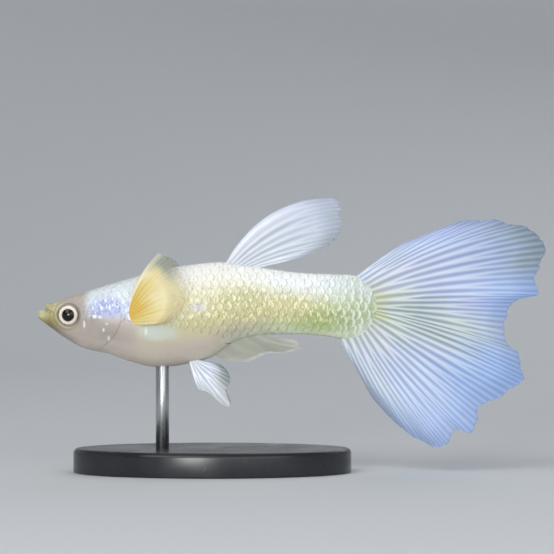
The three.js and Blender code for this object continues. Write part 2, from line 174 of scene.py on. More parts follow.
# Adds a node with its settings, and sets or links its sockets: in order from a list, or by name or number
# from a dictionary. A node given as a value is linked by its first output in use.
def addNode(tree, kind, sockets=None, ramp=None, **settings):
    node = tree.nodes.new("ShaderNode" + kind)
    for title, value in settings.items():
        setattr(node, title, value)
    if ramp:
        stops = node.color_ramp.elements
        while len(stops) < len(ramp):
            stops.new(1.0)
        for stop, (place, colour) in zip(stops, ramp):
            stop.position = place
            stop.color = toLinear(colour)
    if not isinstance(sockets, dict):
        sockets = dict(enumerate(sockets or []))
    for key, value in sockets.items():
        socket = node.inputs[key]
        if isinstance(value, bpy.types.Node):
            value = next(output for output in value.outputs if output.enabled)
        if isinstance(value, bpy.types.NodeSocket):
            tree.links.new(value, socket)
        elif isinstance(value, str):
            socket.default_value = toLinear(value)
        else:
            socket.default_value = value
    return node


def newMaterial(name):
    material = bpy.data.materials.new(name)
    material.use_nodes = True
    tree = material.node_tree
    tree.nodes.clear()
    return material, tree


# Object coordinates in millimetres, moved and stretched as told.
def millimetres(tree, shift=(0, 0, 0), scale=(1000, 1000, 1000)):
    spot = addNode(tree, "TexCoord").outputs["Object"]
    return addNode(tree, "Mapping", {"Vector": spot, "Location": shift, "Scale": scale})


# Named paints laid out in two directions: a ramp across at each station, and a soft mix from each station
# to the next one along.
def stationColours(tree, along, across, stations, paints):
    colour, before = None, None
    for place in sorted(stations):
        stops = [(at, paints[paint]) for at, paint in stations[place].items()]
        here = addNode(tree, "ValToRGB", [across], ramp=stops)
        if colour:
            share = addNode(tree, "MapRange", [along, before, place], interpolation_type="SMOOTHSTEP")
            here = addNode(tree, "Mix", {0: share, 6: colour, 7: here}, data_type="RGBA")
        colour, before = here, place
    return colour


# Shares of a finish, by name. A range reads one share and maps it from two limits to two values, 0 and 1
# where none are given, and a product multiplies several.
def addShares(tree, share, look):
    for title, (source, *limits) in look["ranges"].items():
        share[title] = addNode(tree, "MapRange", [share[source], *limits])
    for title, factors in look["products"].items():
        product = share[factors[0]]
        for factor in factors[1:]:
            product = addNode(tree, "Math", [product, share[factor]], operation="MULTIPLY")
        share[title] = product


# Paints laid one over another, each by its share.
def layPaints(tree, colour, layers):
    for share, paint in layers:
        colour = addNode(tree, "Mix", {0: share, 6: colour, 7: paint}, data_type="RGBA")
    return colour


# Lacquer over paint with a fine grain, which ends each painted finish.
def lacquer(tree, inMm, colour, look, alpha=1.0):
    grain = addNode(tree, "TexNoise", {"Vector": inMm, "Scale": 1 / look["grainSize"],
                                       "Detail": look["grainDetail"]})
    bump = addNode(tree, "Bump", {"Strength": look["grain"], "Distance": look["grainDepth"], "Height": grain})
    shader = addNode(tree, "BsdfPrincipled", {
        "Base Color": colour, "Alpha": alpha, "Normal": bump, "Roughness": look["roughness"],
        "IOR": look["ior"], "Coat Weight": look["coat"], "Coat Roughness": look["coatRoughness"],
    })
    addNode(tree, "OutputMaterial", {"Surface": shader})


print("helpers ready")

# Camera: level, square on to the left side, at the photo's framing.
# The photo's middle lies 10.31 mm behind the stand's rod and 17.57 mm over the floor, and its whole width
# is 49.86 mm at the fish's middle plane.
cameraView = {"middleX": 10.31, "middleZ": 17.57, "width": 49.86, "distance": 240.0, "sensor": 36.0}
cameraData = bpy.data.cameras.new("camera")
cameraData.sensor_width = cameraView["sensor"]
cameraData.lens = cameraView["sensor"] * cameraView["distance"] / cameraView["width"]
cameraData.clip_start = 0.002
cameraData.clip_end = 10
camera = addObject("camera", cameraData)
camera.location = (cameraView["middleX"] / 1000, -cameraView["distance"] / 1000, cameraView["middleZ"] / 1000)
camera.rotation_euler = (math.radians(90), 0, 0)
bpy.context.scene.camera = camera
print("camera placed")

# Body: its outline from the side, its half width and the height of its widest line, in mm.
body = {
    "back": [[0, -0.4], [0.05, -0.16], [0.16, -0.03], [0.35, 0.02], [0.6, 0.04], [0.64, 0.3], [0.72, 0.48],
             [0.86, 0.57], [1.15, 0.6], [1.5, 0.67], [2.5, 1.08], [4, 1.55], [6.1, 2.25], [8.3, 2.9],
             [11, 3.65], [14, 4.15], [16.3, 4.36], [18.4, 4.1], [21.4, 3.66], [24, 3.36], [27.6, 3.24],
             [30.7, 3.2]],
    "belly": [[0, -0.5], [0.06, -0.72], [0.15, -0.83], [0.5, -1.08], [1.1, -1.53], [2.5, -2.53], [4, -3.38],
              [5.2, -3.7], [6.3, -3.92], [8.3, -4.62], [10.6, -5.13], [12.2, -5.05], [13.8, -4.74],
              [15.5, -4.3], [16.8, -3.45], [18.2, -2.62], [21, -2.22], [23.6, -2.24], [26, -2.42],
              [27.6, -2.72], [30.7, -2.8]],
    "halfWidth": [[0, 0.3], [0.06, 0.44], [0.2, 0.66], [0.6, 0.9], [1.1, 1.08], [2.5, 1.52], [4, 1.95],
                  [6.1, 2.36], [8.3, 2.58], [11, 2.66], [14, 2.42], [16.3, 2.05], [18.4, 1.7],
                  [21.4, 1.34], [24, 1.12], [26, 0.95], [28.2, 0.72], [30.7, 0.46]],
    "widest": [[0, -0.46], [1.1, -0.3], [2.5, -0.35], [6.1, -0.75], [11, -0.95], [16.3, 0.1],
               [21.4, 0.6], [30.7, 0.25]],
    "squareness": [[0, 2.1], [3, 2.7], [8, 2.4], [16, 2.1], [30.7, 2.0]],
    "cheek": {"u": 6.0, "z": -0.9, "long": 1.7, "high": 1.9, "proud": 0.16},
    "coatDepth": 0.05,       # under the scales the skin lies this far inside the solids
    "neck": 8.0, "noseGap": 0.012, "endGap": 0.01, "crowding": 1.25,
    "headRings": 210, "bodyRings": 190, "sides": 200,
}
lines = {title: smoothLine(body[title]) for title in ("back", "belly", "halfWidth", "widest", "squareness")}


# Top and bottom of the body at u. Behind the tail's centre the round end cuts them off.
def bodyLimits(u):
    behind = np.clip((u - tailEnd["centreU"]) / tailEnd["radius"], 0, 1)
    roundEnd = np.where(behind > 0, tailEnd["radius"] * np.sqrt(np.clip(1 - behind**2, 0, 1)), 99)
    top = np.minimum(lines["back"](u), tailEnd["centreZ"] + roundEnd)
    bottom = np.maximum(lines["belly"](u), tailEnd["centreZ"] - roundEnd)
    return top, bottom, behind


# Skin: round each ring, z runs as the cosine and y as the sine of the angle from the top, both drawn to
# the power of the ring's squareness, about the ring's widest line. The cheek adds a soft swelling, and
# about the mouth the back line lags with the angle, so that its step follows the mouth.
def bodyPoint(u, angle):
    top, bottom, behind = bodyLimits(u)
    share = np.clip(fromTop(angle) / np.radians(head["mouthTurn"]), 0, 1)
    lag = head["mouthRun"] * share**head["mouthBend"] * (1 - smoothStep(*head["mouthEnd"], u))
    top = np.where(lag > 0, lines["back"](u - lag), top)
    middle = np.clip(lines["widest"](u), bottom, top)
    up, out = np.cos(angle), np.sin(angle)
    power = np.where(up > 0, lines["squareness"](u), 2.0)
    reach = np.where(up > 0, top - middle, middle - bottom)
    z = middle + np.sign(up) * np.maximum(reach, 0) * np.abs(up) ** (2 / power)
    cheek = body["cheek"]
    swelling = cheek["proud"] * hump(u, cheek["u"], cheek["long"]) * hump(z, cheek["z"], cheek["high"])
    width = (lines["halfWidth"](u) + swelling) * np.sqrt(np.clip(1 - behind**4, 0, 1))
    y = np.maximum(width, 0) * np.sign(out) * np.abs(out) ** (2 / power)
    return np.stack([np.broadcast_to(u, y.shape), y, z], -1)


# Outward direction of the skin: the cross product of its two tangents, by small steps.
def bodyNormal(u, angle):
    small = 0.004
    alongU = bodyPoint(u + small, angle) - bodyPoint(u - small, angle)
    around = bodyPoint(u, angle + small) - bodyPoint(u, angle - small)
    normal = np.cross(alongU, around)
    return normal / np.maximum(np.linalg.norm(normal, axis=-1, keepdims=True), 1e-9)


# Head: places in mm, and the widths and depths of its small forms.
head = {
    "eyeU": 2.83, "eyeZ": -0.44, "socket": 0.6, "socketWall": (0.78, 1.04),
    "mouthU": 0.58, "mouthRun": 0.98, "mouthTurn": 98.0, "mouthBend": 1.8,
    "mouthEnd": (0.9, 2.2), "mouthFade": (0.86, 1.0), "mouthShallow": 0.55,
    "nostrilU": 1.62, "nostrilAngle": 42.0, "gillLift": 0.035, "gillRise": 1.6, "gillStep": 0.06,
    "side": (30, 50, 140, 155),         # degrees from the top
    "gillHeight": (-3.9, -3.0, -1.2, -0.5), "jawHeight": (-3.4, -2.8, -0.5, 0.3),
    "gillEdge": [[-6, 4.9], [-3.9, 5.3], [-2.4, 6.9], [-0.9, 7.55], [0.6, 7.3], [2.2, 6.5], [5, 6.0]],
    "jawLine": [[-6, 3.2], [-3.4, 4.0], [-2.2, 4.75], [-1.0, 4.9], [0.2, 4.6]],
    "bumps": {      # height, distance from the line or point that it goes round, width
        "mouth": (-0.16, 0, 0.07), "upperLip": (0.045, 0.22, 0.12), "lowerLip": (0.045, -0.2, 0.11),
        "eyeRim": (0.07, 1.16, 0.11), "eyeFold": (-0.025, 1.42, 0.09),
        "nostril": (-0.12, 0, 0.096), "nostrilRim": (0.03, 0.228, 0.07),
        "gillSlit": (-0.03, 0.1, 0.1), "jawFold": (-0.035, 0, 0.07),
    },
}
gillEdge = smoothLine(head["gillEdge"])
jawLine = smoothLine(head["jawLine"])


# How far the skin stands out (or sinks, below zero) over the plain body at each of its points: humps and
# grooves about the mouth line, eye, nostril, gill cover and jaw, each a bell curve of the distance from it,
# times the share of the place where it shows.
def headRelief(u, angle, z):
    turn = np.degrees(fromTop(angle))
    share = np.clip(turn / head["mouthTurn"], 0, 1)
    fromMouth = u - (head["mouthU"] + head["mouthRun"] * share**head["mouthBend"])
    onMouth = 1 - smoothStep(*head["mouthFade"], turn / head["mouthTurn"])
    shallower = 1 - head["mouthShallow"] * share
    fromEye = np.hypot(u - head["eyeU"], z - head["eyeZ"])
    onSide = window(turn, head["side"])
    fromNostril = np.hypot(u - head["nostrilU"], np.radians(turn - head["nostrilAngle"]))
    fromGill, fromJaw = u - gillEdge(z), u - jawLine(z)
    onGill, onJaw = window(z, head["gillHeight"]), window(z, head["jawHeight"])
    behindGill = fromGill >= 0
    places = {
        "mouth": (fromMouth, onMouth * shallower), "upperLip": (fromMouth, onMouth),
        "lowerLip": (fromMouth, onMouth * share), "eyeRim": (fromEye, onSide), "eyeFold": (fromEye, onSide),
        "nostril": (fromNostril, 1), "nostrilRim": (fromNostril, 1),
        "gillSlit": (fromGill, onGill * behindGill), "jawFold": (fromJaw, onJaw),
    }
    relief = -onSide * head["socket"] * (1 - smoothStep(*head["socketWall"], fromEye))
    before = np.exp(np.minimum(fromGill, 0) / head["gillRise"])
    cover = np.where(behindGill, np.clip(1 - fromGill / head["gillStep"], 0, 1), before)
    relief += onGill * head["gillLift"] * cover
    for title, (height, at, width) in head["bumps"].items():
        distance, shown = places[title]
        relief += height * shown * hump(distance, at, width)
    return relief


# Body place of each point, for the markings: back from the jaw tip, height share from belly to back, and
# distance from the middle plane.
def bodyPlace(points):
    u, z = points[..., 0], points[..., 2]
    top, bottom, _ = bodyLimits(u)
    high = np.clip((z - bottom) / np.maximum(top - bottom, 0.05), 0, 1)
    return np.stack([u, high, np.abs(points[..., 1])], -1)


# Scales: rounded plates in staggered rows. Rows keep the same distance from the middle line of the side,
# measured along the skin, and run out at the back and the belly.
scale = {
    "pitch": 0.76, "rowPitch": 0.68, "long": 1.3, "wide": 1.3,      # mm
    "thick": 0.03, "rise": 0.005, "sink": 0.035,
    "firstU": 4.6, "lastU": 30.45,
    "lowest": [[4, -1.1], [9, -1.3], [13, -1.8], [17, -2.6], [30.7, -3.6]],     # height where it fades out
    "fade": 0.9,                                                                # either way of that
    "middleLine": [[4, 0.2], [12, 0.1], [20, 0.45], [30.7, 0.27]],
    "behindGill": (0.0, 0.4), "napeHeight": (0.46, 0.68), "napeFrom": (4.3, 5.3), "leastZone": 0.06,
    "rows": 12, "bend": (24.5, 29.5), "bendLeast": 0.6, "ahead": 0.8, "endGap": 0.03,
    "straying": (0.035, 0.025), "strayMore": (24, 27), "seed": 11,
    "pastBack": 8.0,                                                 # degrees past the midline
    "rounding": 0.55, "narrow": 0.94, "taper": 0.2, "before": 0.4, "smaller": 0.75, "smallTo": (4, 8),
    "tailRise": 3, "tailRiseTo": (25.5, 28.5), "curve": 0.8,
    "clear": 0.002, "buried": 0.014, "dome": 0.01, "brink": 0.004, "skirt": 0.02, "keel": 0.03,
    "along": 7, "across": 9,                                         # points of one scale's grid
    "bakePatch": 0.003, "bakeHeight": 18.0, "bakeShare": 0.94,
}
coatLowest = smoothLine(scale["lowest"])


# Share of the scale coat at a place: full over nape and flank, none on the face, the gill cover and the
# smooth belly.
def scaleZone(points):
    u, z = points[..., 0], points[..., 2]
    high = bodyPlace(points)[..., 1]
    behindGill = smoothStep(*scale["behindGill"], u - gillEdge(z))
    nape = smoothStep(*scale["napeHeight"], high) * smoothStep(*scale["napeFrom"], u)
    over = z - coatLowest(u)
    return smoothStep(-scale["fade"], scale["fade"], over) * np.maximum(behindGill, nape)


# Markings of skin and scales alike, with painted highlights and a painted shadow among the patches: colours
# from belly (0) to back (1) at places back from the jaw tip.
markingsAndPaintedLight = {
    "paints": {
        "snoutShade": "#786c40", "snoutOlive": "#9c9060", "crownOlive": "#b0a880", "lipCream": "#dcd8b0",
        "cheekRose": "#b4a8a0", "throatSand": "#c8bcb0", "gillGrey": "#a49c94", "napeBlue": "#b4c0d4",
        "bellySand": "#d8ccc0", "sideSand": "#c0b8a4", "flankGold": "#c8c494", "flankCream": "#e0dcb8",
        "ivory": "#f0eee0", "pearlWhite": "#ecf2f4", "warmWhite": "#fafaf6", "stalkGreen": "#a0b27c",
        "stalkSage": "#bcc89c", "stalkSilver": "#d6e0e2", "shellGreen": "#dee4cc",
    },
    "stations": {
        0.2: {0: "snoutOlive", 0.4: "flankGold", 1: "lipCream"},
        1.2: {0: "snoutShade", 0.35: "snoutOlive", 0.7: "crownOlive", 1: "flankGold"},
        3.0: {0: "gillGrey", 0.2: "cheekRose", 0.6: "crownOlive", 0.85: "cheekRose",
              1: "throatSand"},
        4.1: {0: "throatSand", 0.25: "cheekRose", 0.5: "gillGrey", 0.75: "gillGrey",
              1: "throatSand"},
        5.0: {0: "throatSand", 0.25: "cheekRose", 0.5: "gillGrey", 0.72: "napeBlue",
              1: "pearlWhite"},
        6.6: {0: "bellySand", 0.3: "gillGrey", 0.5: "cheekRose", 0.7: "napeBlue", 1: "pearlWhite"},
        8.2: {0: "bellySand", 0.28: "cheekRose", 0.45: "cheekRose", 0.6: "napeBlue",
              0.78: "stalkSilver", 1: "pearlWhite"},
        9.6: {0: "bellySand", 0.25: "sideSand", 0.45: "sideSand", 0.7: "flankCream", 1: "ivory"},
        13.0: {0: "bellySand", 0.18: "throatSand", 0.4: "flankGold", 0.62: "flankCream",
               0.82: "ivory", 1: "warmWhite"},
        18.0: {0: "shellGreen", 0.15: "sideSand", 0.35: "flankGold", 0.58: "flankGold",
               0.8: "ivory", 1: "warmWhite"},
        23.0: {0: "shellGreen", 0.15: "stalkSage", 0.35: "flankGold", 0.55: "flankGold",
               0.78: "pearlWhite", 1: "warmWhite"},
        27.0: {0: "shellGreen", 0.15: "stalkSage", 0.35: "stalkGreen", 0.52: "stalkSage",
               0.72: "stalkSilver", 1: "pearlWhite"},
        30.3: {0: "warmWhite", 0.3: "stalkSage", 0.55: "stalkSage", 0.8: "stalkSilver",
               1: "pearlWhite"},
    },
    # soft patches: back from the jaw tip, height, their half sizes, colour and strength
    "patches": [
        (6.4, 0.2, 1.6, 0.95, "#9aa3d8", 0.8),
        (11.0, -1.95, 1.9, 0.85, "#cbd5cb", 0.75),
        (12.2, 1.1, 1.7, 1.3, "#f6e9a4", 0.55),
        (14.5, 0.3, 0.9, 0.55, "#d5cee0", 0.6),
        (25.8, -0.95, 3.2, 1.1, "#93a868", 0.55),
        (4.3, -1.25, 0.13, 0.38, "#f0e8e2", 0.75),
        (6.05, -1.75, 0.12, 0.22, "#f3efe8", 0.7),
        (6.5, -2.5, 0.13, 0.28, "#ece2d8", 0.7),
        # painted highlights: two small white spots low on the blue nape patch
        (5.25, -0.55, 0.2, 0.18, "#f8f8ff", 0.9),
        (5.75, -0.62, 0.2, 0.15, "#eef0fb", 0.7),
        (6.35, -1.2, 0.16, 0.12, "#d8dcd6", 0.7),
        (9.85, -1.8, 0.14, 0.42, "#dcead8", 0.8),
        # painted shadow: a dark line in the crease where the anal fin meets the belly
        (17.2, -3.0, 0.36, 0.07, "#5f5d52", 0.7),
    ],
    "patchEdge": (0.45, 1.25), "patchMottle": 0.5,
    "mottleSize": 0.45,      # mm
    "mottle": 0.16,
}


# Builds the markings, their painted highlights and painted shadow included, in a material's tree. It returns
# their colour, the place back from the jaw tip, the height share and the place in millimetres.
def addMarkingsAndPaintedLight(tree):
    place = addNode(tree, "Attribute", attribute_name="bodyPlace").outputs["Vector"]
    split = addNode(tree, "SeparateXYZ", [place])
    back, high = split.outputs[0], split.outputs[1]
    inMm = millimetres(tree, (standAt, 0, -axisHeight))
    mottle = addNode(tree, "TexNoise", {"Vector": inMm, "Scale": 1 / markingsAndPaintedLight["mottleSize"], "Detail": 4.0})
    wander = addNode(tree, "Math", [mottle, markingsAndPaintedLight["mottle"], -markingsAndPaintedLight["mottle"] / 2],
                     operation="MULTIPLY_ADD")
    uneven = addNode(tree, "Math", [high, wander], operation="ADD")
    colour = stationColours(tree, back, uneven, markingsAndPaintedLight["stations"], markingsAndPaintedLight["paints"])
    layers = []
    for u, z, long, tall, paint, strength in markingsAndPaintedLight["patches"]:
        near = addNode(tree, "Mapping", {"Vector": inMm, "Location": (-u / long, 0, -z / tall),
                                         "Scale": (1 / long, 0, 1 / tall)})
        far = addNode(tree, "VectorMath", [near], operation="LENGTH")
        far = addNode(tree, "Math", [far, markingsAndPaintedLight["patchMottle"] / 2], operation="SUBTRACT")
        far = addNode(tree, "Math", [mottle, markingsAndPaintedLight["patchMottle"], far], operation="MULTIPLY_ADD")
        share = addNode(tree, "MapRange", [far, *markingsAndPaintedLight["patchEdge"], strength, 0.0],
                        interpolation_type="SMOOTHSTEP")
        layers.append((share, paint))
    return layPaints(tree, colour, layers), back, high, inMm


# The skin's finish: sizes in mm, then what each share reads, from where to where.
skinLook = {
    "cellSize": 0.5, "cellPaint": "#eef4fc",
    # painted shade: a dark ring round the eye socket, its centre set a little back and up from the eye's
    # centre
    "eyeRing": 1.03, "eyeShift": 0.07, "eyeDrop": 0.03, "socketShadePaint": "#4c453c",
    "ranges": {
        "onNape": ("high", 0.5, 0.62), "behindEye": ("back", 3.9, 4.8), "beforeFin": ("back", 8.4, 9.2, 1, 0),
        "line": ("cells", 0, 0.22, 0.4, 0), "eyeShade": ("ring", 0.01, 0.12, 0.5, 0),
    },
    "products": {"cellLine": ("onNape", "behindEye", "beforeFin", "line")},
    "grainSize": 0.12, "grainDetail": 3.0, "grain": 0.25, "grainDepth": 0.00003,
    "roughness": 0.44, "ior": 1.42, "coat": 0.2, "coatRoughness": 0.3,
}


# Cast resin skin, painted in thin pearl coats and lacquered: olive snout, pale sandy belly, and a soft wet
# gloss. Pale lines between cells on the nape stand for the skin's bright pigment cells, and a dark ring of
# painted shade lies round the eye socket.
def skinMaterial():
    material, tree = newMaterial("castResinPearlPainted")
    colour, back, high, inMm = addMarkingsAndPaintedLight(tree)
    cells = addNode(tree, "TexVoronoi", {"Vector": inMm, "Scale": 1 / skinLook["cellSize"]},
                    feature="DISTANCE_TO_EDGE")
    eyeAt = (-head["eyeU"] - skinLook["eyeShift"], 0, -head["eyeZ"] - skinLook["eyeDrop"])
    fromEye = addNode(tree, "Mapping", {"Vector": inMm, "Location": eyeAt, "Scale": (1, 0, 1)})
    far = addNode(tree, "VectorMath", [fromEye], operation="LENGTH")
    ring = addNode(tree, "Math", [far, skinLook["eyeRing"]], operation="SUBTRACT")
    ring = addNode(tree, "Math", [ring], operation="ABSOLUTE")
    share = {"back": back, "high": high, "cells": cells, "ring": ring}
    addShares(tree, share, skinLook)
    layers = [(share["cellLine"], skinLook["cellPaint"]), (share["eyeShade"], skinLook["socketShadePaint"])]
    lacquer(tree, inMm, layPaints(tree, colour, layers), skinLook)
    return material


# Rings of the skin: close over the head, wider behind it, and drawn together at the round end.
def makeSkin():
    neck, start, crowding = body["neck"], body["noseGap"], body["crowding"]
    front = start + (neck - start) * np.linspace(0, 1, body["headRings"]) ** crowding
    rest = np.linspace(0, 1, body["bodyRings"] + 1)[1:]
    rear = neck + (bodyEnd - neck - body["endGap"]) * (1 - (1 - rest) ** crowding)
    u = np.concatenate([front, rear])[:, None]
    u, angle = np.broadcast_arrays(u, fullTurn(body["sides"]))
    points = bodyPoint(u, angle)
    relief = headRelief(u, angle, points[..., 2]) - body["coatDepth"] * scaleZone(points)
    points = points + bodyNormal(u, angle) * relief[..., None]
    flat, faces = closeRings(points, [points[0].mean(0), points[-1].mean(0)])
    skin = addPiece("skin", toMetres(flat), faces, skinMaterial(), {"bodyPlace": bodyPlace(flat)})
    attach(skin, "root")
    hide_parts("head", "trunk", "tail_stalk")


makeSkin()
print("skin made")

# Arc length along the skin's ring at each u, from the side's middle line: positive towards the back.
# The table gives the angle for each u and arc length.
def arcTable():
    u = np.linspace(scale["firstU"] - 1, bodyEnd - 0.02, 300)
    angle = np.radians(np.linspace(-50, 230, 420))
    ring = bodyPoint(u[:, None], angle[None, :])
    step = np.linalg.norm(np.diff(ring, axis=1), axis=-1)
    arc = np.concatenate([np.zeros((len(u), 1)), np.cumsum(step, axis=1)], axis=1)
    half = (angle > 0) & (angle < np.pi)
    middle = smoothLine(scale["middleLine"])(u)
    start = [np.interp(-m, -ring[k, half, 2], arc[k, half]) for k, m in enumerate(middle)]
    reach = np.linspace(-8.5, 8.5, 341)
    table = [np.interp(start[k] - reach, arc[k], angle) for k in range(len(u))]
    return u, reach, np.array(table)


# Reads the table between its lines, evenly weighted.
def arcAngle(table, u, arc):
    us, arcs, angles = table
    i = np.clip((u - us[0]) / (us[1] - us[0]), 0, len(us) - 1.001)
    j = np.clip((arc - arcs[0]) / (arcs[1] - arcs[0]), 0, len(arcs) - 1.001)
    i0, j0 = i.astype(int), j.astype(int)
    fi, fj = i - i0, j - j0
    return ((1 - fi) * (1 - fj) * angles[i0, j0] + fi * (1 - fj) * angles[i0 + 1, j0]
            + (1 - fi) * fj * angles[i0, j0 + 1] + fi * fj * angles[i0 + 1, j0 + 1])


# The scales' finish, with shares as the skin's: s runs back along a scale, fleck is an upright noise.
scaleLook = {
    "ranges": {
        "fall": ("s", 0.93, 1, 1, 0.25), "middle": ("sideways", 0.25, 0.6, 1, 0),
        "root": ("s", 0.3, 0.62, 0.5, 0),
        "lively": ("height", -1.9, -0.4), "bright": ("random", 0.3, 1, 0.15, 1),
        "atTail": ("back", 26, 28.5, 0, 0.85), "tailShade": ("back", 26, 28.5, 0, 0.3825),
        "onNape": ("back", 8, 9.5, 1, 0), "dark": ("fleck", 0.42, 0.3, 0, 0.75),
        "light": ("fleck", 0.53, 0.62, 0, 0.9),
    },
    # Products: painted glints on the crescents and in pale specks, a painted highlight round the free edges
    # at the tail base, painted shade where the plate in front covers a scale, and darker specks.
    "products": {
        "glint": ("edge", "fall", "middle", "bright", "lively"), "rimHighlight": ("edge", "fall", "atTail"),
        "shade": ("root", "lively", "second"), "darkFleck": ("dark", "lively"),
        "glintFleck": ("light", "lively"),
    },
    # Paints of the painted glints (gold to white by height, blue-white on the nape) and of the painted shade
    # and darker specks (flank and nape).
    "edge": (0.7, 0.88), "glintPaints": [(0.3, "#f3ebb4"), (0.7, "#fdf8d6"), (0.85, "#fdfdfb")],
    "napeGlintPaint": "#eef3ff", "napeDeep": "#8292c4", "flankDeep": "#8a865f", "deepShare": 0.6,
    # The tail base is darker grey-green, with a painted highlight round the free edge of each scale.
    "tailDeep": "#8ea08c", "tailLoopHighlight": "#e3eedd",
    "flecks": (6.5, 4.0, 2.8),                                       # in a millimetre, each way
    "grainSize": 0.1, "grainDetail": 2.0, "grain": 0.2, "grainDepth": 0.00002,
    "roughness": 0.36, "ior": 1.45, "coat": 0.3, "coatRoughness": 0.2,
}


# Pearl paint over moulded scale edges: each plate has a pale crescent along its free edge, a painted glint,
# gold on the flank and white over the back, and its own tone. Pale specks are painted glints too, the band
# behind the edge of the plate in front is painted shade, and at the tail base a painted highlight runs round
# each free edge.
def scaleMaterial():
    material, tree = newMaterial("pearlPaintOnMouldedScales")
    colour, back, high, inMm = addMarkingsAndPaintedLight(tree)
    face = addNode(tree, "SeparateXYZ", [addNode(tree, "UVMap", uv_map="scaleFace")])
    tone = addNode(tree, "Attribute", attribute_name="scaleTone").outputs["Vector"]
    tone = addNode(tree, "SeparateXYZ", [tone])
    s, t = face.outputs[0], face.outputs[1]
    aside = addNode(tree, "Math", [t, 0.5], operation="SUBTRACT")
    aside = addNode(tree, "Math", [aside], operation="ABSOLUTE")
    aside = addNode(tree, "Math", [aside, 2.0], operation="MULTIPLY")
    upright = addNode(tree, "Mapping", {"Vector": inMm, "Scale": scaleLook["flecks"]})
    share = {
        "back": back, "s": s, "sideways": aside, "random": tone.outputs[0], "second": tone.outputs[1],
        "height": addNode(tree, "SeparateXYZ", [inMm]).outputs[2],
        "fleck": addNode(tree, "TexNoise", {"Vector": upright, "Scale": 1.0, "Detail": 3.0}),
        "edge": addNode(tree, "MapRange", [s, *scaleLook["edge"]], interpolation_type="SMOOTHSTEP"),
    }
    addShares(tree, share, scaleLook)
    gold = addNode(tree, "ValToRGB", [high], ramp=scaleLook["glintPaints"])
    glintColour = layPaints(tree, gold, [(share["onNape"], scaleLook["napeGlintPaint"])])
    deepTone = layPaints(tree, scaleLook["flankDeep"], [(share["onNape"], scaleLook["napeDeep"])])
    deeper = addNode(tree, "Mix", {0: scaleLook["deepShare"], 6: colour, 7: deepTone}, data_type="RGBA",
                     blend_type="MULTIPLY")
    # Over the markings: painted shade, darker specks, painted glints in specks, the darker tail base, painted
    # glints on the crescents, and the painted highlight round the tail-base edges.
    colour = layPaints(tree, colour, [
        (share["shade"], deeper), (share["darkFleck"], deeper), (share["glintFleck"], glintColour),
        (share["tailShade"], scaleLook["tailDeep"]), (share["glint"], glintColour),
        (share["rimHighlight"], scaleLook["tailLoopHighlight"]),
    ])
    lacquer(tree, inMm, colour, scaleLook)
    return material


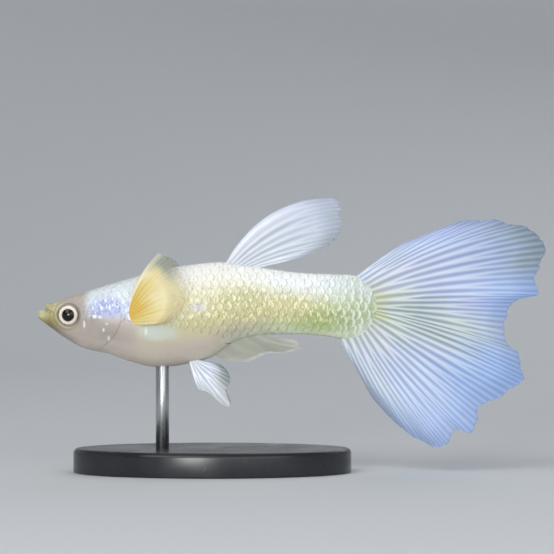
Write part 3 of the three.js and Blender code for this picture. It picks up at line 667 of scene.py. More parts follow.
# Each scale is a small grid: s runs back along it and w across it. Its rear end is round, its surface
# rises from under the skin to the free edge, and a skirt and a fan of faces close it underneath.
def makeScales():
    table = arcTable()
    rng = np.random.default_rng(scale["seed"])
    columns = int((scale["lastU"] - scale["firstU"]) / scale["pitch"])
    rows = np.arange(-scale["rows"], scale["rows"] + 1)
    column, row = np.meshgrid(np.arange(columns), rows, indexing="ij")
    arc = row * scale["rowPitch"]
    u = scale["firstU"] + (column + 0.5 * (row % 2)) * scale["pitch"]
    bend = smoothStep(*scale["bend"], u)
    ahead = np.sqrt(np.clip(tailEnd["radius"] ** 2 - arc**2, scale["bendLeast"], None))
    u = u - bend * (tailEnd["radius"] - ahead)         # the columns follow the tail's round end
    u, arc = u.ravel(), arc.ravel()
    uneven = 1 + smoothStep(*scale["strayMore"], u)
    u = u + rng.normal(0, scale["straying"][0], u.shape) * uneven
    arc = arc + rng.normal(0, scale["straying"][1], arc.shape) * uneven
    angle = arcAngle(table, u, arc)
    spare = np.radians(scale["pastBack"])
    keep = (angle > -spare) & (angle < np.pi + spare) & (u < scale["lastU"]) & (u > scale["firstU"])
    keep &= scaleZone(bodyPoint(u, angle)) > scale["leastZone"]
    u, arc = u[keep], arc[keep]
    count, rowsOf, columnsOf = len(u), scale["along"], scale["across"]
    s, w = np.meshgrid(np.linspace(0, 1, rowsOf) ** scale["curve"], np.linspace(-1, 1, columnsOf),
                       indexing="ij")
    roundEnd = 1 - scale["rounding"] * (1 - np.sqrt(1 - scale["narrow"] * w**2))
    alongMm = (s * roundEnd - scale["before"]) * scale["long"]
    acrossMm = w * (1 - scale["taper"] * (1 - np.sin(np.pi * s))) * scale["wide"] / 2
    size = scale["smaller"] + (1 - scale["smaller"]) * smoothStep(*scale["smallTo"], u)
    gridU = u[:, None, None] + alongMm * size[:, None, None]
    gridArc = arc[:, None, None] + acrossMm * size[:, None, None]
    gridU = np.clip(gridU, scale["firstU"] - scale["ahead"], bodyEnd - scale["endGap"])
    gridAngle = arcAngle(table, gridU, gridArc)
    plain = bodyPoint(gridU, gridAngle)
    normals = bodyNormal(gridU, gridAngle)
    zone = scaleZone(plain)
    rise = scale["rise"] * zone * (1 + scale["tailRise"] * smoothStep(*scale["tailRiseTo"], gridU))
    rise += scale["clear"] - scale["buried"] * (1 - zone)
    lift = (scale["sink"] + rise) * s ** scale["curve"] - scale["sink"] + scale["dome"] * zone * (1 - w**2)
    depth = lift - body["coatDepth"] * zone - scale["brink"] * (s > 0.99)
    upper = (plain + normals * depth[..., None]).reshape(count, rowsOf * columnsOf, 3)
    around = gridEdge(np.arange(rowsOf * columnsOf).reshape(rowsOf, columnsOf))
    flatNormals = normals.reshape(count, rowsOf * columnsOf, 3)
    lower = upper[:, around] - flatNormals[:, around] * (scale["thick"] + scale["skirt"])
    centre = lower.mean(1, keepdims=True) - flatNormals.mean(1, keepdims=True) * scale["keel"]
    every = np.concatenate([upper, lower, centre], axis=1)
    ringSize, total, first = len(around), every.shape[1], rowsOf * columnsOf
    following = np.roll(np.arange(ringSize), -1)
    skirt = np.stack([around, first + np.arange(ringSize), first + following, around[following]], -1)
    fan = np.stack([first + following, first + np.arange(ringSize), np.full(ringSize, total - 1)], -1)
    shift = (np.arange(count) * total)[:, None, None]
    quads = (np.concatenate([gridFaces(rowsOf, columnsOf), skirt])[None] + shift).reshape(-1, 4)
    tris = (fan[None] + shift).reshape(-1, 3)
    sOf = np.concatenate([s.ravel(), s.ravel()[around], [0.5]])
    wOf = np.concatenate([w.ravel(), w.ravel()[around], [0.0]])
    tones = np.broadcast_to(rng.random((count, 1, 3)), (count, total, 3))
    face = np.broadcast_to(np.stack([sOf, wOf / 2 + 0.5], -1), (count, total, 2))
    patch = np.stack([sOf - 0.5, wOf / 2], -1) * scale["bakePatch"]
    for side, name in ((-1, "scalesLeft"), (1, "scalesRight")):
        flat = every.reshape(-1, 3) * (1, side, 1)
        rootPlace = np.stack([u / bodyEnd - 0.5, arc / scale["bakeHeight"]], -1) * scale["bakeShare"] + 0.5
        bake = (rootPlace[:, None] + patch[None]).reshape(-1, 2)
        scales = addPiece(name, toMetres(flat), [quads, tris], scaleFinish,
                          {"bodyPlace": bodyPlace(flat), "scaleTone": tones.reshape(-1, 3)},
                          {"OFBake": bake, "scaleFace": face.reshape(-1, 2)})
        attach(scales, "root")
    print("scales a side:", count, "triangles a side:", len(quads) * 2 + len(tris))


scaleFinish = scaleMaterial()
makeScales()
print("scales made")

# Eyes: a silver iris round a domed black pupil.
eye = {
    "radius": 0.95, "depth": 0.6, "middle": 1.12, "tilt": 0.2, "pupil": 0.53, "lens": 0.07,
    "turns": 72, "steps": 40, "blur": 0.07, "blurSize": 0.2,        # mm
    "rings": [(0.0, "#050404"), (0.49, "#090706"), (0.53, "#3b2a1d"), (0.57, "#c2ae92"), (0.62, "#efe6dc"),
              (0.78, "#f8f3ec"), (0.85, "#d6cbbc"), (0.9, "#6a5f52"), (0.96, "#3a332b")],
}


# Clear lacquer over a painted glass-like ball: black pupil, pale silver iris with a soft, uneven edge and a
# dark outer line.
def eyeMaterial():
    material, tree = newMaterial("lacqueredEyePaint")
    inMm = millimetres(tree, (standAt - head["eyeU"], 0, -axisHeight - head["eyeZ"]), (1000, 0, 1000))
    far = addNode(tree, "VectorMath", [inMm], operation="LENGTH")
    far = addNode(tree, "Math", [far, eye["blur"] / 2], operation="SUBTRACT")
    blur = addNode(tree, "TexNoise", {"Vector": inMm, "Scale": 1 / eye["blurSize"], "Detail": 4.0})
    far = addNode(tree, "Math", [blur, eye["blur"], far], operation="MULTIPLY_ADD")
    colour = addNode(tree, "ValToRGB", [far], ramp=eye["rings"])
    shader = addNode(tree, "BsdfPrincipled", {
        "Base Color": colour, "Roughness": 0.12, "IOR": 1.35, "Coat Weight": 0.3, "Coat Roughness": 0.02,
    })
    addNode(tree, "OutputMaterial", {"Surface": shader})
    return material


# The eye is turned about its own axis: radius r runs out to its rim, height is an ellipse's, with a small
# bell-shaped lens over the pupil. It is laid over to look forwards a little.
def makeEyes():
    finish = eyeMaterial()
    turns, steps, tilt = eye["turns"], eye["steps"], eye["tilt"]
    polar = np.linspace(0, np.pi, steps + 2)[1:-1, None]
    around = fullTurn(turns)
    r = eye["radius"] * np.sin(polar)
    lens = eye["lens"] * np.exp(-((r / (eye["pupil"] * 0.9)) ** 4)) * (polar < np.pi / 2)
    height = np.broadcast_to(eye["depth"] * np.cos(polar) + lens, (steps, turns))
    ball = np.stack([r * np.cos(around), height, r * np.sin(around)], -1)
    ball, faces = closeRings(ball, [[0, eye["depth"] + eye["lens"], 0], [0, -eye["depth"], 0]])
    for side, name in ((-1, "left"), (1, "right")):
        lookU = ball[:, 0] * math.cos(tilt) - ball[:, 1] * math.sin(tilt)
        lookY = ball[:, 0] * math.sin(tilt) + ball[:, 1] * math.cos(tilt)
        placed = [lookU + head["eyeU"], side * (lookY + eye["middle"]), ball[:, 2] + head["eyeZ"]]
        piece = addPiece("eye_" + name + "_ball", toMetres(np.stack(placed, -1)), faces, finish)
        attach(piece, "root")
        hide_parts("eye_" + name)


makeEyes()
print("eyes made")


# Point at share b of a bent ray from root to tip, a quadratic curve that sets out at the given angle.
def bentRay(root, tip, angle, b, pull=0.45):
    length = np.hypot(tip[0] - root[0], tip[1] - root[1]) * pull
    mid = (root[0] + length * np.cos(angle), root[1] + length * np.sin(angle))
    return [root[i] * (1 - b) ** 2 + 2 * mid[i] * b * (1 - b) + tip[i] * b * b for i in (0, 1)]


# How far a fin stands out of its plane: a sine across the rays, growing with the square of the way out.
def swayAt(look, t, b):
    amount, turn, start, offset = look["sway"]
    return amount * b * b * (np.sin(turn * t + start) + offset)


# What all fins share: lengths of forks as shares of a ray, and the spacing in mm under which ridges sink.
finShape = {
    "stray": (2.4, 0.7), "thickAt": [0, 0.15, 1],
    "forkStray": 0.05, "forkLong": 0.28, "fork2Stray": 0.06, "fork2Long": 0.4, "apart": 0.25,
    "crowded": 0.4, "rayTaper": 0.75, "ragged": [(5.1, 1.3, 1.0), (4.3, 0.5, 0.6), (9.7, 2.0, 0.5)],
}


# Fin: a thin closed sheet over a grid of t across the rays and b out along them. Each ray is a rounded
# ridge on both faces, a bell curve over its own strip; past its fork it parts into two, and past the second
# into four. Between ridges the membrane is hollowed, and the margin is notched and made ragged by sines.
def makeFin(name, node, at, normal, look, material):
    t, b = np.meshgrid(np.linspace(0, 1, look["columns"] + 1), np.linspace(0, 1, look["rows"] + 1),
                       indexing="ij")
    phase = t * look["rays"]
    number = np.minimum(np.floor(phase), look["rays"] - 1)
    local = phase - number - 0.5
    turn, start = finShape["stray"]
    stray = np.sin(turn * number + start)
    fork = look["fork"] + finShape["forkStray"] * stray
    parted = smoothStep(fork, fork + finShape["forkLong"], b)
    fork2 = look["fork2"] + finShape["fork2Stray"] * stray
    partedAgain = smoothStep(fork2, look["fork2"] + finShape["fork2Long"], b)
    apart = finShape["apart"]
    ways = [local - apart * (parted * i + partedAgain * j / 2) for i in (-1, 1) for j in (-1, 1)]
    off = np.min(np.abs(ways), axis=0)
    strip = (1 - 0.5 * parted) * (1 - 0.5 * partedAgain)
    crest = np.exp(-((off / (look["rayShare"] * strip)) ** 2))
    plain = at(t, b)
    alongRay = np.gradient(plain, axis=1)
    area = np.linalg.norm(np.cross(np.gradient(plain, axis=0), alongRay), axis=-1)
    spacing = area / np.linalg.norm(alongRay, axis=-1) * look["columns"] / look["rays"] * strip
    ridge = look["ridge"] * np.clip(spacing / finShape["crowded"], 0, 1)
    waves = zip((number, phase, phase), finShape["ragged"])
    ragged = sum(share * np.sin(place * turn + start) for place, (turn, start, share) in waves)
    tooth = look["notch"] * np.clip(off / apart, 0, 1)
    reach = b * (1 + (look["ragged"] * ragged - tooth) * b**3)
    middle = at(t, reach)
    membrane = np.interp(b, finShape["thickAt"], look["thick"])
    half = membrane / 2 + ridge * crest * (1 - finShape["rayTaper"] * b)
    pleat = look["pleat"] * np.sin(np.pi * phase) * 4 * b * (1 - b)
    middle = middle + normal * pleat[..., None]
    near = (middle - normal * half[..., None]).reshape(-1, 3)
    far = (middle + normal * half[..., None]).reshape(-1, 3)
    columns, rows = t.shape
    count = columns * rows
    quads = gridFaces(columns, rows)
    edge = gridEdge(np.arange(count).reshape(columns, rows))
    following = np.roll(edge, -1)
    rim = np.stack([edge, edge + count, following + count, following], -1)
    faces = [np.concatenate([quads, quads[:, ::-1] + count, rim[:, ::-1]])]
    place = np.stack([t, b, crest], -1).reshape(-1, 3)
    fin = addPiece(name, toMetres(np.concatenate([near, far])), faces, material,
                   {"finPlace": np.concatenate([place, place])})
    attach(fin, "root")
    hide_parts(node)


# The film's finish, for all fins.
filmLook = {
    "wander": 0.24, "spentRay": 0.25, "frontToRear": (0.2, 0.45),
    "grainSize": 0.15, "grainDetail": 2.0, "grain": 0.2, "grainDepth": 0.00003,
    "roughness": 0.36, "ior": 1.45, "coat": 0.25, "coatRoughness": 0.2,
}


# Thin rayed membrane of tinted lacquer film: rays pale and a little proud, the film between them coloured
# and slightly see-through towards the margin.
def finMaterial(name, look):
    material, tree = newMaterial(name)
    place = addNode(tree, "Attribute", attribute_name="finPlace").outputs["Vector"]
    place = addNode(tree, "SeparateXYZ", [place])
    t, b, crest = place.outputs[0], place.outputs[1], place.outputs[2]
    inMm = millimetres(tree)
    noise = addNode(tree, "TexNoise", {"Vector": inMm, "Scale": 1 / look["mottleSize"], "Detail": 4.0})
    wander = addNode(tree, "Math", [noise, filmLook["wander"], -filmLook["wander"] / 2],
                     operation="MULTIPLY_ADD")
    uneven = addNode(tree, "Math", [b, wander], operation="ADD")
    film = stationColours(tree, t, uneven, look["film"], look["paints"])
    pale = stationColours(tree, t, b, look["rayColour"], look["paints"])
    rays = layPaints(tree, film, [(look["rayWhite"], pale)])
    film = addNode(tree, "Mix", {0: 1.0, 6: film, 7: look["gapShade"]}, data_type="RGBA",
                   blend_type="MULTIPLY")
    strength = addNode(tree, "MapRange", [b, *look["rayFade"], look["rayStrength"],
                                          look["rayStrength"] * filmLook["spentRay"]])
    share = addNode(tree, "Math", [crest, strength], operation="MULTIPLY")
    colour = layPaints(tree, film, [(share, rays)])
    atMargin = addNode(tree, "MapRange", [t, *filmLook["frontToRear"], look["clearTo"], look["rearClear"]])
    filmAlpha = addNode(tree, "MapRange", [b, look["clearFrom"], 1.0, 1.0, atMargin])
    rayAlpha = addNode(tree, "Math", [crest, look["rayAlpha"]], operation="MULTIPLY")
    solid = addNode(tree, "Math", [filmAlpha, rayAlpha], operation="MAXIMUM")
    lacquer(tree, inMm, colour, filmLook, solid)
    return material


sideways = np.array([0.0, 1.0, 0.0])

# Tail fin: margin as share across, distance back from the tail's centre and height over it, in mm. Angles
# are in degrees up from straight back: where each ray leaves the root's arc, and which way it sets out.
tail = {
    "margin": [[0, 5.18, 5.75], [0.03, 7.01, 6.46], [0.055, 8.83, 7.19], [0.085, 10.96, 7.8],
               [0.105, 12.18, 7.77], [0.125, 13.55, 7.97], [0.15, 14.92, 7.53], [0.175, 16.36, 7.27],
               [0.2, 17.58, 6.51], [0.225, 18.11, 5.44], [0.25, 17.73, 4.3], [0.275, 17.35, 3.24],
               [0.3, 17.05, 2.17], [0.325, 17.4, 1.14], [0.345, 16.28, 0.86], [0.37, 15.14, 0.35],
               [0.4, 14.58, -0.57], [0.435, 14.38, -1.93], [0.465, 14.61, -3.3], [0.49, 15.6, -4.22],
               [0.52, 15.8, -5.43], [0.55, 15.86, -6.42], [0.58, 15.22, -7.1], [0.61, 14, -7.94],
               [0.64, 12.63, -8.63], [0.66, 12.03, -9.16], [0.69, 11.87, -10.45],
               [0.72, 11.11, -11.39], [0.745, 10.02, -11.03], [0.77, 9.44, -11.97],
               [0.8, 8.91, -12.43], [0.83, 8.22, -12.63], [0.865, 7.16, -12.15], [0.89, 5.94, -11.59],
               [0.92, 4.73, -10.6], [0.95, 3.51, -9.42], [0.975, 2.45, -8.17], [1, 1.61, -6.5]],
    "rootAngle": [[0, 76], [0.05, 68], [0.1, 58], [0.15, 49], [0.19, 42], [0.25, 30], [0.31, 18], [0.37, 6],
                  [0.43, -4], [0.52, -12], [0.61, -23], [0.68, -34], [0.76, -48], [0.84, -63], [0.9, -75],
                  [0.96, -92], [1, -104]],
    "direction": [[0, 37], [0.15, 33], [0.19, 28], [0.25, 19], [0.31, 9], [0.37, 2], [0.43, -6], [0.52, -15],
                  [0.61, -31], [0.68, -43], [0.76, -55], [0.84, -63], [0.92, -67], [1, -66]],
    "rootRadius": 2.6, "wave": 0.85, "wavePower": 1.5, "folds": (1.15, 0.1), "ripple": (0.35, 18, 3),
    "rays": 19, "columns": 400, "rows": 110, "fork": 0.05, "fork2": 0.42, "ridge": 0.07, "rayShare": 0.29,
    "thick": [0.3, 0.16, 0.06], "notch": 0.008, "ragged": 0.008, "pleat": 0.04,
    "mottleSize": 1.6, "rayWhite": 0.5, "gapShade": "#ced5e0", "rayStrength": 0.95, "rayFade": (0.5, 1.2),
    "rayAlpha": 0.8, "clearFrom": 0.85, "clearTo": 0.72, "rearClear": 0.72,
    "paints": {"rootYellow": "#c6ca96", "rootSage": "#bec6b6", "lilacWhite": "#bac0d8",
               "lavender": "#a8b4dc", "violet": "#98acd4", "iceBlue": "#acc2ea", "deepBlue": "#94b6e8",
               "greyGreen": "#8ca0a4", "cornerGrey": "#8094a4", "paleIce": "#c4d2e4", "mistGreen": "#a8b6b0",
               "rayWhite": "#f2f6f4", "rayCream": "#e4e2a4", "rayIce": "#d4e0fa"},
    "film": {
        0.02: {0: "paleIce", 0.5: "paleIce", 1: "lavender"},
        0.1: {0: "paleIce", 0.3: "lilacWhite", 0.6: "iceBlue", 0.9: "lavender", 1: "violet"},
        0.19: {0: "rootSage", 0.2: "lilacWhite", 0.5: "lavender", 0.75: "violet", 0.9: "greyGreen",
               1: "cornerGrey"},
        0.25: {0: "rootSage", 0.2: "lilacWhite", 0.5: "lavender", 0.75: "violet", 0.9: "greyGreen",
               1: "cornerGrey"},
        0.31: {0: "rootYellow", 0.15: "rootSage", 0.4: "lavender", 0.7: "iceBlue", 1: "deepBlue"},
        0.38: {0: "rootYellow", 0.15: "mistGreen", 0.4: "greyGreen", 0.7: "lavender",
               1: "deepBlue"},
        0.45: {0: "rootYellow", 0.14: "mistGreen", 0.4: "greyGreen", 0.7: "mistGreen", 1: "violet"},
        0.53: {0: "rootYellow", 0.2: "mistGreen", 0.5: "greyGreen", 0.8: "deepBlue", 1: "deepBlue"},
        0.61: {0: "rootSage", 0.2: "mistGreen", 0.45: "lavender", 0.7: "deepBlue", 1: "deepBlue"},
        0.7: {0: "rootSage", 0.2: "lilacWhite", 0.5: "iceBlue", 0.75: "iceBlue", 1: "deepBlue"},
        0.79: {0: "rootSage", 0.2: "lilacWhite", 0.5: "iceBlue", 0.8: "iceBlue", 1: "iceBlue"},
        0.87: {0: "rootSage", 0.2: "lilacWhite", 0.5: "paleIce", 1: "iceBlue"},
        0.96: {0: "rootSage", 0.3: "paleIce", 1: "paleIce"},
    },
    "rayColour": {
        0.0: {0: "rayWhite", 1: "rayIce"},
        0.38: {0: "rayCream", 0.14: "rayWhite", 0.6: "rayWhite", 1: "rayIce"},
        0.55: {0: "rayCream", 0.14: "rayWhite", 0.6: "rayWhite", 1: "rayIce"},
        0.8: {0: "rayWhite", 0.5: "rayWhite", 1: "rayIce"},
    },
}
marginBack = smoothLine([[t, back] for t, back, up in tail["margin"]])
marginUp = smoothLine([[t, up] for t, back, up in tail["margin"]])
rootAngle, direction = smoothLine(tail["rootAngle"]), smoothLine(tail["direction"])


# The tail leaves the middle plane in wide folds, a sine of t, with finer ripples of t and b. Both grow
# towards the margin.
def tailAt(t, b):
    start = np.radians(rootAngle(t))
    root = (tail["rootRadius"] * np.cos(start), tail["rootRadius"] * np.sin(start))
    back, up = bentRay(root, (marginBack(t), marginUp(t)), np.radians(direction(t)), b)
    turns, startTurn = tail["folds"]
    strength, across, out = tail["ripple"]
    folds = np.sin(2 * np.pi * (turns * t + startTurn)) + strength * np.sin(across * t + out * b)
    sway = tail["wave"] * b ** tail["wavePower"] * folds
    return np.stack([tailEnd["centreU"] + back, sway, tailEnd["centreZ"] + up], -1)


makeFin("tail_fan", "tail_fin", tailAt, sideways, tail, finMaterial("iceBlueFinFilm", tail))


# Swept blade on the middle line: its root runs along the body's back or belly line, and its rays bend from
# there to a margin given by distance back and height.
def makeBlade(name, node, look, line, finish):
    edge, height = smoothLine(look["edge"]), smoothLine(look["height"])
    rootFrom, rootTo, sunk = look["root"]
    angleFrom, angleGrow, anglePower = look["angle"]
    pullFrom, pullGrow = look["pull"]

    def bladeAt(t, b):
        rootU = rootFrom + (rootTo - rootFrom) * t
        angle = np.radians(angleFrom + angleGrow * t**anglePower)
        u, z = bentRay((rootU, line(rootU) + sunk), (edge(t), height(t)), angle, b, pullFrom + pullGrow * t)
        return np.stack([u, swayAt(look, t, b), z], -1)

    makeFin(name, node, bladeAt, sideways, look, finMaterial(finish, look))


# Dorsal fin: a swept blade from the middle of the back.
dorsal = {
    "slot": "dorsal_membrane", "root": (16.8, 19.3, -0.3), "angle": (62, -50, 0.8), "pull": (0.6, -0.12),
    "sway": (0.5, 5, 0.6, 0),
    "edge": [[0, 26.45], [0.12, 27.15], [0.3, 27.3], [0.45, 27.45], [0.6, 26.85], [0.72, 26.1], [0.82, 25.2],
             [0.9, 24.1], [1, 22.5]],
    "height": [[0, 10.1], [0.12, 9.6], [0.3, 8.7], [0.45, 7.75], [0.6, 6.6], [0.72, 5.85], [0.82, 5.4],
               [0.9, 4.85], [1, 4.4]],
    "rays": 8, "columns": 220, "rows": 90, "fork": 0.5, "fork2": 1.2, "ridge": 0.07, "rayShare": 0.3,
    "thick": [0.26, 0.14, 0.06], "notch": 0.012, "ragged": 0.012, "pleat": 0.04,
    "mottleSize": 1.4, "rayWhite": 0.6, "gapShade": "#dfe3ea", "rayStrength": 0.85, "rayFade": (0.4, 0.9),
    "rayAlpha": 0.8, "clearFrom": 0.75, "clearTo": 0.68, "rearClear": 0.68,
    "paints": {"mist": "#dadee2", "lilac": "#d0d6e4", "greyIce": "#c0c8d0", "tipGrey": "#a8b0b8",
               "rayWhite": "#f4f6fa", "rayLilac": "#e2e6f2"},
    "film": {
        0.0: {0: "mist", 0.5: "rayLilac", 0.85: "lilac", 1: "lilac"},
        0.3: {0: "greyIce", 0.4: "greyIce", 0.8: "lilac", 1: "greyIce"},
        0.7: {0: "greyIce", 0.4: "greyIce", 0.8: "greyIce", 1: "tipGrey"},
        1.0: {0: "mist", 0.5: "mist", 1: "greyIce"},
    },
    "rayColour": {0.0: {0: "rayWhite", 1: "rayLilac"}},
}
makeBlade("dorsal_blade", "dorsal_fin", dorsal, lines["back"], "paleLavenderFinFilm")

# Anal fin: the male's long leaf, laid back under the tail stalk.
anal = {
    "slot": "belly_fin_membrane", "root": (15.7, 20.5, 0.4), "angle": (-50, 20, 1), "pull": (0.4, 0),
    "sway": (0.25, 3, 0, 0),
    "edge": [[0, 17.3], [0.15, 18.6], [0.3, 19.6], [0.4, 20.3], [0.5, 21.2], [0.6, 22.1], [0.68, 22.9],
             [0.73, 23.7], [0.77, 23.25], [0.84, 23.5], [0.9, 23.15], [0.95, 22.2], [1, 21.1]],
    "height": [[0, -4.6], [0.15, -4.65], [0.3, -4.35], [0.4, -4.0], [0.5, -3.84], [0.6, -3.9],
               [0.68, -3.66], [0.73, -3.46], [0.77, -3.28], [0.84, -3.05], [0.9, -2.72], [0.95, -2.58],
               [1, -2.5]],
    "rays": 5, "columns": 100, "rows": 70, "fork": 0.6, "fork2": 1.2, "ridge": 0.03, "rayShare": 0.25,
    "thick": [0.5, 0.36, 0.12], "notch": 0.01, "ragged": 0.003, "pleat": 0.02,
    "mottleSize": 1.2, "rayWhite": 1.0, "gapShade": "#f4f4f4", "rayStrength": 0.3, "rayFade": (0.4, 0.9),
    "rayAlpha": 0.9, "clearFrom": 0.9, "clearTo": 0.85, "rearClear": 0.85,
    "paints": {"greyFilm": "#a6a89a", "paleGrey": "#b8b8ac", "whiteTip": "#e6e4e0", "rayGrey": "#c4c4bc"},
    "film": {
        0.0: {0: "greyFilm", 0.6: "greyFilm", 1: "paleGrey"},
        0.5: {0: "greyFilm", 0.6: "greyFilm", 0.9: "greyFilm", 1: "whiteTip"},
        1.0: {0: "greyFilm", 0.6: "greyFilm", 1: "rayGrey"},
    },
    "rayColour": {0.0: {0: "paleGrey", 1: "rayGrey"}},
}
makeBlade("anal_leaf", "anal_fin", anal, lines["belly"], "greyFinFilm")


# Half the body's width at a place on its side.
def sideAt(u, z):
    widest = lines["widest"](u)
    reach = np.where(z > widest, lines["back"](u) - widest, widest - lines["belly"](u))
    power = np.where(z > widest, lines["squareness"](u), 2.0)
    return lines["halfWidth"](u) * (1 - np.clip(np.abs(z - widest) / reach, 0, 1) ** power) ** (1 / power)


# A turn about the upright axis, then one about the long axis, as a matrix.
def turned(aboutZ, aboutX):
    cz, sz, cx, sx = math.cos(aboutZ), math.sin(aboutZ), math.cos(aboutX), math.sin(aboutX)
    upright = np.array([[cz, -sz, 0], [sz, cz, 0], [0, 0, 1]])
    long = np.array([[1, 0, 0], [0, cx, -sx], [0, sx, cx]])
    return upright @ long


# Pectoral fins: a fan behind each gill cover, spread up and out.
pectoral = {
    "piece": "pectoral_fan_", "node": "pectoral_fin_", "slot": "pectoral_membrane", "finish": "yellowFinFilm",
    "u": 8.75, "z": -0.6, "root": ((-0.35, 0.65), (-0.35, -0.65)), "back": 0,
    "out": 24, "roll": 8, "first": 63, "last": -8, "lean": (0.3, -0.21), "sway": (-0.45, np.pi, 0, -0.6),
    "length": [[0, 6.5], [0.12, 6.6], [0.3, 6.35], [0.52, 5.9], [0.75, 4.8], [1, 3.3]],
    "rays": 11, "columns": 220, "rows": 80, "fork": 0.4, "fork2": 1.2, "ridge": 0.03, "rayShare": 0.25,
    "thick": [0.22, 0.12, 0.05], "notch": 0.006, "ragged": 0.003, "pleat": 0.03,
    "mottleSize": 1.5, "rayWhite": 0.6, "gapShade": "#f2ead0", "rayStrength": 0.6, "rayFade": (0.4, 0.95),
    "rayAlpha": 0.05, "clearFrom": 0.68, "clearTo": 0.42, "rearClear": 0.04,
    "paints": {"ochre": "#deb444", "yellow": "#e2c05a", "cream": "#eadc9c", "paleCream": "#f8f0d0",
               "mistGrey": "#a6b2b8", "sandCream": "#e6dcae", "rayYellow": "#ead078", "rayWhite": "#f8f6e0",
               "edgeGrey": "#dae2e2"},
    "film": {
        0.0: {0: "paleCream", 0.35: "rayWhite", 0.6: "rayWhite", 1: "edgeGrey"},
        0.035: {0: "sandCream", 0.35: "paleCream", 0.6: "rayWhite", 1: "edgeGrey"},
        0.08: {0: "ochre", 0.25: "yellow", 0.5: "cream", 0.7: "paleCream", 0.86: "mistGrey",
               1: "mistGrey"},
        0.2: {0: "ochre", 0.25: "yellow", 0.55: "cream", 0.76: "paleCream", 0.88: "mistGrey",
              1: "mistGrey"},
        0.5: {0: "ochre", 0.25: "yellow", 0.5: "paleCream", 0.9: "rayWhite", 1: "rayWhite"},
        0.75: {0: "yellow", 0.4: "cream", 0.8: "paleCream", 1: "paleCream"},
        1.0: {0: "sandCream", 0.4: "sandCream", 0.8: "sandCream", 1: "cream"},
    },
    "rayColour": {
        0.0: {0: "cream", 0.4: "rayWhite", 1: "rayWhite"},
        0.15: {0: "rayYellow", 0.5: "cream", 1: "rayWhite"},
        1.0: {0: "rayYellow", 0.5: "cream", 1: "paleCream"},
    },
}
pectoral["y"] = float(sideAt(pectoral["u"], pectoral["z"]))

# Pelvic fins: small, with one ray drawn out to a point.
pelvic = {
    "piece": "pelvic_leaf_", "node": "pelvic_fin_", "slot": "belly_fin_membrane", "finish": "whiteFinFilm",
    "u": 13.6, "y": 0.55, "root": ((0, 0.35), (0.6, 0.35)), "back": 0.1,
    "out": 0, "roll": -10, "first": -73, "last": -2, "lean": (-0.12, 0), "sway": (0.25, 4, 0, 0),
    "length": [[0, 2.4], [0.2, 3.1], [0.35, 5.4], [0.5, 4.1], [0.63, 4.0], [0.8, 3.6], [1, 2.7]],
    "rays": 6, "columns": 140, "rows": 70, "fork": 0.35, "fork2": 0.85, "ridge": 0.06, "rayShare": 0.25,
    "thick": [0.24, 0.13, 0.05], "notch": 0.012, "ragged": 0.006, "pleat": 0.04,
    "mottleSize": 1.2, "rayWhite": 1.0, "gapShade": "#e9edf3", "rayStrength": 0.75, "rayFade": (0.5, 1.0),
    "rayAlpha": 0.8, "clearFrom": 0.7, "clearTo": 0.6, "rearClear": 0.6,
    "paints": {"milk": "#dadcda", "lilac": "#cad0e4", "greyGreen": "#96a09c", "rayWhite": "#fafcfe",
               "rayGrey": "#e0e4ea", "mist": "#d0d4d6"},
    "film": {
        0.0: {0: "milk", 0.4: "rayGrey", 1: "rayGrey"},
        0.4: {0: "mist", 0.4: "lilac", 0.8: "mist", 1: "milk"},
        0.7: {0: "mist", 0.5: "lilac", 0.8: "greyGreen", 1: "greyGreen"},
        1.0: {0: "milk", 0.5: "lilac", 0.85: "greyGreen", 1: "greyGreen"},
    },
    "rayColour": {0.0: {0: "rayWhite", 1: "rayWhite"}, 1.0: {0: "rayWhite", 1: "rayGrey"}},
}
pelvic["z"] = float(lines["belly"](pelvic["u"]))


# Fin at the side, in a plane turned out from the body: rays spread in even angles from a short straight
# root, each to its own length.
def makeSideFin(side, name, look, material):
    length = smoothLine(look["length"])
    (fromX, fromZ), (toX, toZ) = look["root"]
    turning = turned(side * math.radians(look["out"]), -side * math.radians(look["roll"]))
    rootAt = np.array([look["u"], side * look["y"], look["z"]])

    def fanAt(t, b):
        angle = np.radians(look["first"] + (look["last"] - look["first"]) * t)
        root = (fromX + (toX - fromX) * t, fromZ + (toZ - fromZ) * t)
        tip = (look["back"] + length(t) * np.cos(angle), length(t) * np.sin(angle))
        x, z = bentRay(root, tip, angle + look["lean"][0] + look["lean"][1] * t, b)
        return np.stack([x, side * swayAt(look, t, b), z], -1) @ turning.T + rootAt

    makeFin(look["piece"] + name, look["node"] + name, fanAt, turning @ sideways, look, material)


def makePairedFins():
    pairs = [(look, finMaterial(look["finish"], look)) for look in (pectoral, pelvic)]
    for side, name in ((-1, "left"), (1, "right")):
        for look, material in pairs:
            makeSideFin(side, name, look, material)


makePairedFins()
print("fins made")

# Display stand: an oval foot with a rounded edge and a straight steel rod, in mm. The streaks are per metre,
# so that the steel's fine lines are about a twelfth of a millimetre wide.
stand = {"ahead": 4.5, "long": 12.5, "wide": 8.0, "thick": 2.2, "edge": 0.45, "foot": 0.15, "rod": 0.6,
         "into": 0.35, "haze": 3.5, "streaks": (12000, 12000, 300)}


# Dark acrylic, saw-cut, edge-polished and buffed: near black, smooth, with faint buffing haze.
def acrylicMaterial():
    material, tree = newMaterial("polishedDarkAcrylic")
    haze = addNode(tree, "TexNoise", {"Vector": millimetres(tree), "Scale": 1 / stand["haze"],
                                      "Detail": 6.0})
    colour = addNode(tree, "ValToRGB", [haze], ramp=[(0.3, "#1b1c1f"), (0.7, "#25272b")])
    rough = addNode(tree, "MapRange", [haze, 0.3, 0.7, 0.16, 0.3])
    shader = addNode(tree, "BsdfPrincipled", {"Base Color": colour, "Roughness": rough, "IOR": 1.49})
    addNode(tree, "OutputMaterial", {"Surface": shader})
    return material


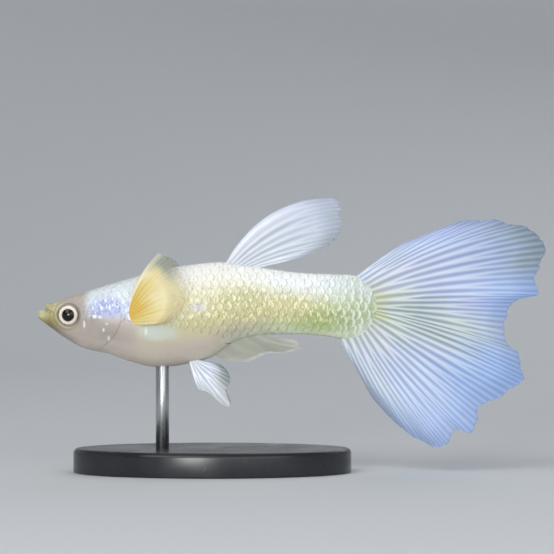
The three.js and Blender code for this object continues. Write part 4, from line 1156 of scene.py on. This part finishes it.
# Drawn stainless wire: bright metal with fine lines along its length.
def steelMaterial():
    material, tree = newMaterial("drawnStainlessWire")
    lengthways = millimetres(tree, scale=stand["streaks"])
    streaks = addNode(tree, "TexNoise", {"Vector": lengthways, "Scale": 1.0, "Detail": 3.0})
    colour = addNode(tree, "ValToRGB", [streaks], ramp=[(0.3, "#a9abad"), (0.7, "#c9cbcc")])
    rough = addNode(tree, "MapRange", [streaks, 0.3, 0.7, 0.22, 0.36])
    shader = addNode(tree, "BsdfPrincipled", {"Base Color": colour, "Roughness": rough, "Metallic": 1.0})
    addNode(tree, "OutputMaterial", {"Surface": shader})
    return material


# A profile of (share of the radius, inset, height) carried round an oval: x and y are the oval's half
# sizes less the inset, times cosine and sine. The first and last rings are closed by a point.
def ovalSolid(name, centre, halfX, halfY, profile, material, turns=160):
    share, inset, height = np.array(profile, float).T
    around = fullTurn(turns)
    x = centre[0] + (share * halfX - inset)[:, None] * np.cos(around)
    y = centre[1] + (share * halfY - inset)[:, None] * np.sin(around)
    z = np.broadcast_to(height[:, None], x.shape)
    ends = [[centre[0], centre[1], height[0]], [centre[0], centre[1], height[-1]]]
    points, faces = closeRings(np.stack([x, y, z], -1), ends)
    return addPiece(name, points * 0.001, faces, material)


# A quarter round of the given radius, from the flat face to the upright wall.
def quarterRound(radius, fromHeight, rising, steps=7):
    turn = np.linspace(0, np.pi / 2, steps)
    if rising:
        return [(1, radius * (1 - math.sin(a)), fromHeight + radius * (1 - math.cos(a))) for a in turn]
    return [(1, radius * (1 - math.cos(a)), fromHeight - radius * (1 - math.sin(a))) for a in turn]


def makeStand():
    foot, edge, thick = stand["foot"], stand["edge"], stand["thick"]
    profile = [(0.5, 0, 0), (1, foot * 1.6, 0)] + quarterRound(foot, 0, True)
    profile += quarterRound(edge, thick, False) + [(1, edge * 1.5, thick), (0.5, 0, thick)]
    base = ovalSolid("stand_foot", (stand["ahead"], 0), stand["long"], stand["wide"], profile,
                     acrylicMaterial())
    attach(base, "root")
    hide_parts("stand_base")
    belly = axisHeight + float(lines["belly"](standAt)) + stand["into"]
    rodProfile = [(1, 0.1, thick - 0.2), (1, 0, thick - 0.1), (1, 0, belly - 0.2), (1, 0.12, belly)]
    rod = ovalSolid("stand_wire", (0, 0), stand["rod"], stand["rod"], rodProfile, steelMaterial(), 48)
    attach(rod, "root")
    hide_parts("stand_rod")


makeStand()
print("stand made")

# Studio: a round pale floor that curves up into its own backdrop on every side, and soft lamps.
studio = {
    "floor": 0.27, "curve": 0.3, "sides": 96, "steps": 24, "colour": "#e2e5e8", "aim": (0.01, 0, 0.014),
    "lamps": [  # name, place in metres, size, watts
        ("key", (-0.14, -0.3, 0.3), 0.26, 0.52),
        ("fill", (0.16, -0.34, 0.1), 0.3, 0.39),
        ("low", (-0.06, -0.34, 0.045), 0.09, 0.5),
        ("top", (0.02, 0.06, 0.42), 0.34, 0.12),
        ("rear", (0.12, 0.3, 0.26), 0.26, 0.2),
    ],
    "world": "#dfe4ea", "worldStrength": 0.28,
}


def makeStudio():
    material, tree = newMaterial("matteBackdropPaper")
    shader = addNode(tree, "BsdfPrincipled", {"Base Color": studio["colour"], "Roughness": 0.9})
    addNode(tree, "OutputMaterial", {"Surface": shader})
    turn = np.linspace(0, np.pi / 2, studio["steps"])
    flat, curve, sides = studio["floor"], studio["curve"], studio["sides"]
    radius = np.concatenate([[0.001, flat * 0.5], flat + curve * np.sin(turn)])
    height = np.concatenate([[0, 0], curve * (1 - np.cos(turn))])
    around = fullTurn(sides)
    points = np.stack([radius[:, None] * np.cos(around), radius[:, None] * np.sin(around),
                       np.broadcast_to(height[:, None], (len(radius), sides))], -1).reshape(-1, 3)
    faces = gridFaces(len(radius), sides, closed=True)
    mesh = bpy.data.meshes.new("floor")
    mesh.from_pydata(points.tolist(), [], faces[:, ::-1].tolist() + [list(range(sides))])
    mesh.polygons.foreach_set("use_smooth", np.ones(len(mesh.polygons), bool))
    mesh.materials.append(material)
    floor = addObject("floor", mesh)
    aim = addObject("aim", None)
    aim.location = studio["aim"]
    for name, place, size, watts in studio["lamps"]:
        lampData = bpy.data.lights.new(name, "AREA")
        lampData.size = size
        lampData.energy = watts
        lamp = addObject(name, lampData)
        lamp.location = place
        lamp.visible_camera = False
        look = lamp.constraints.new("TRACK_TO")
        look.target = aim
    world = bpy.data.worlds.new("softWorld")
    world.use_nodes = True
    world.node_tree.nodes["Background"].inputs[0].default_value = toLinear(studio["world"])
    world.node_tree.nodes["Background"].inputs[1].default_value = studio["worldStrength"]
    bpy.context.scene.world = world
    bpy.context.scene.view_settings.view_transform = "Standard"


makeStudio()
print("studio lit")
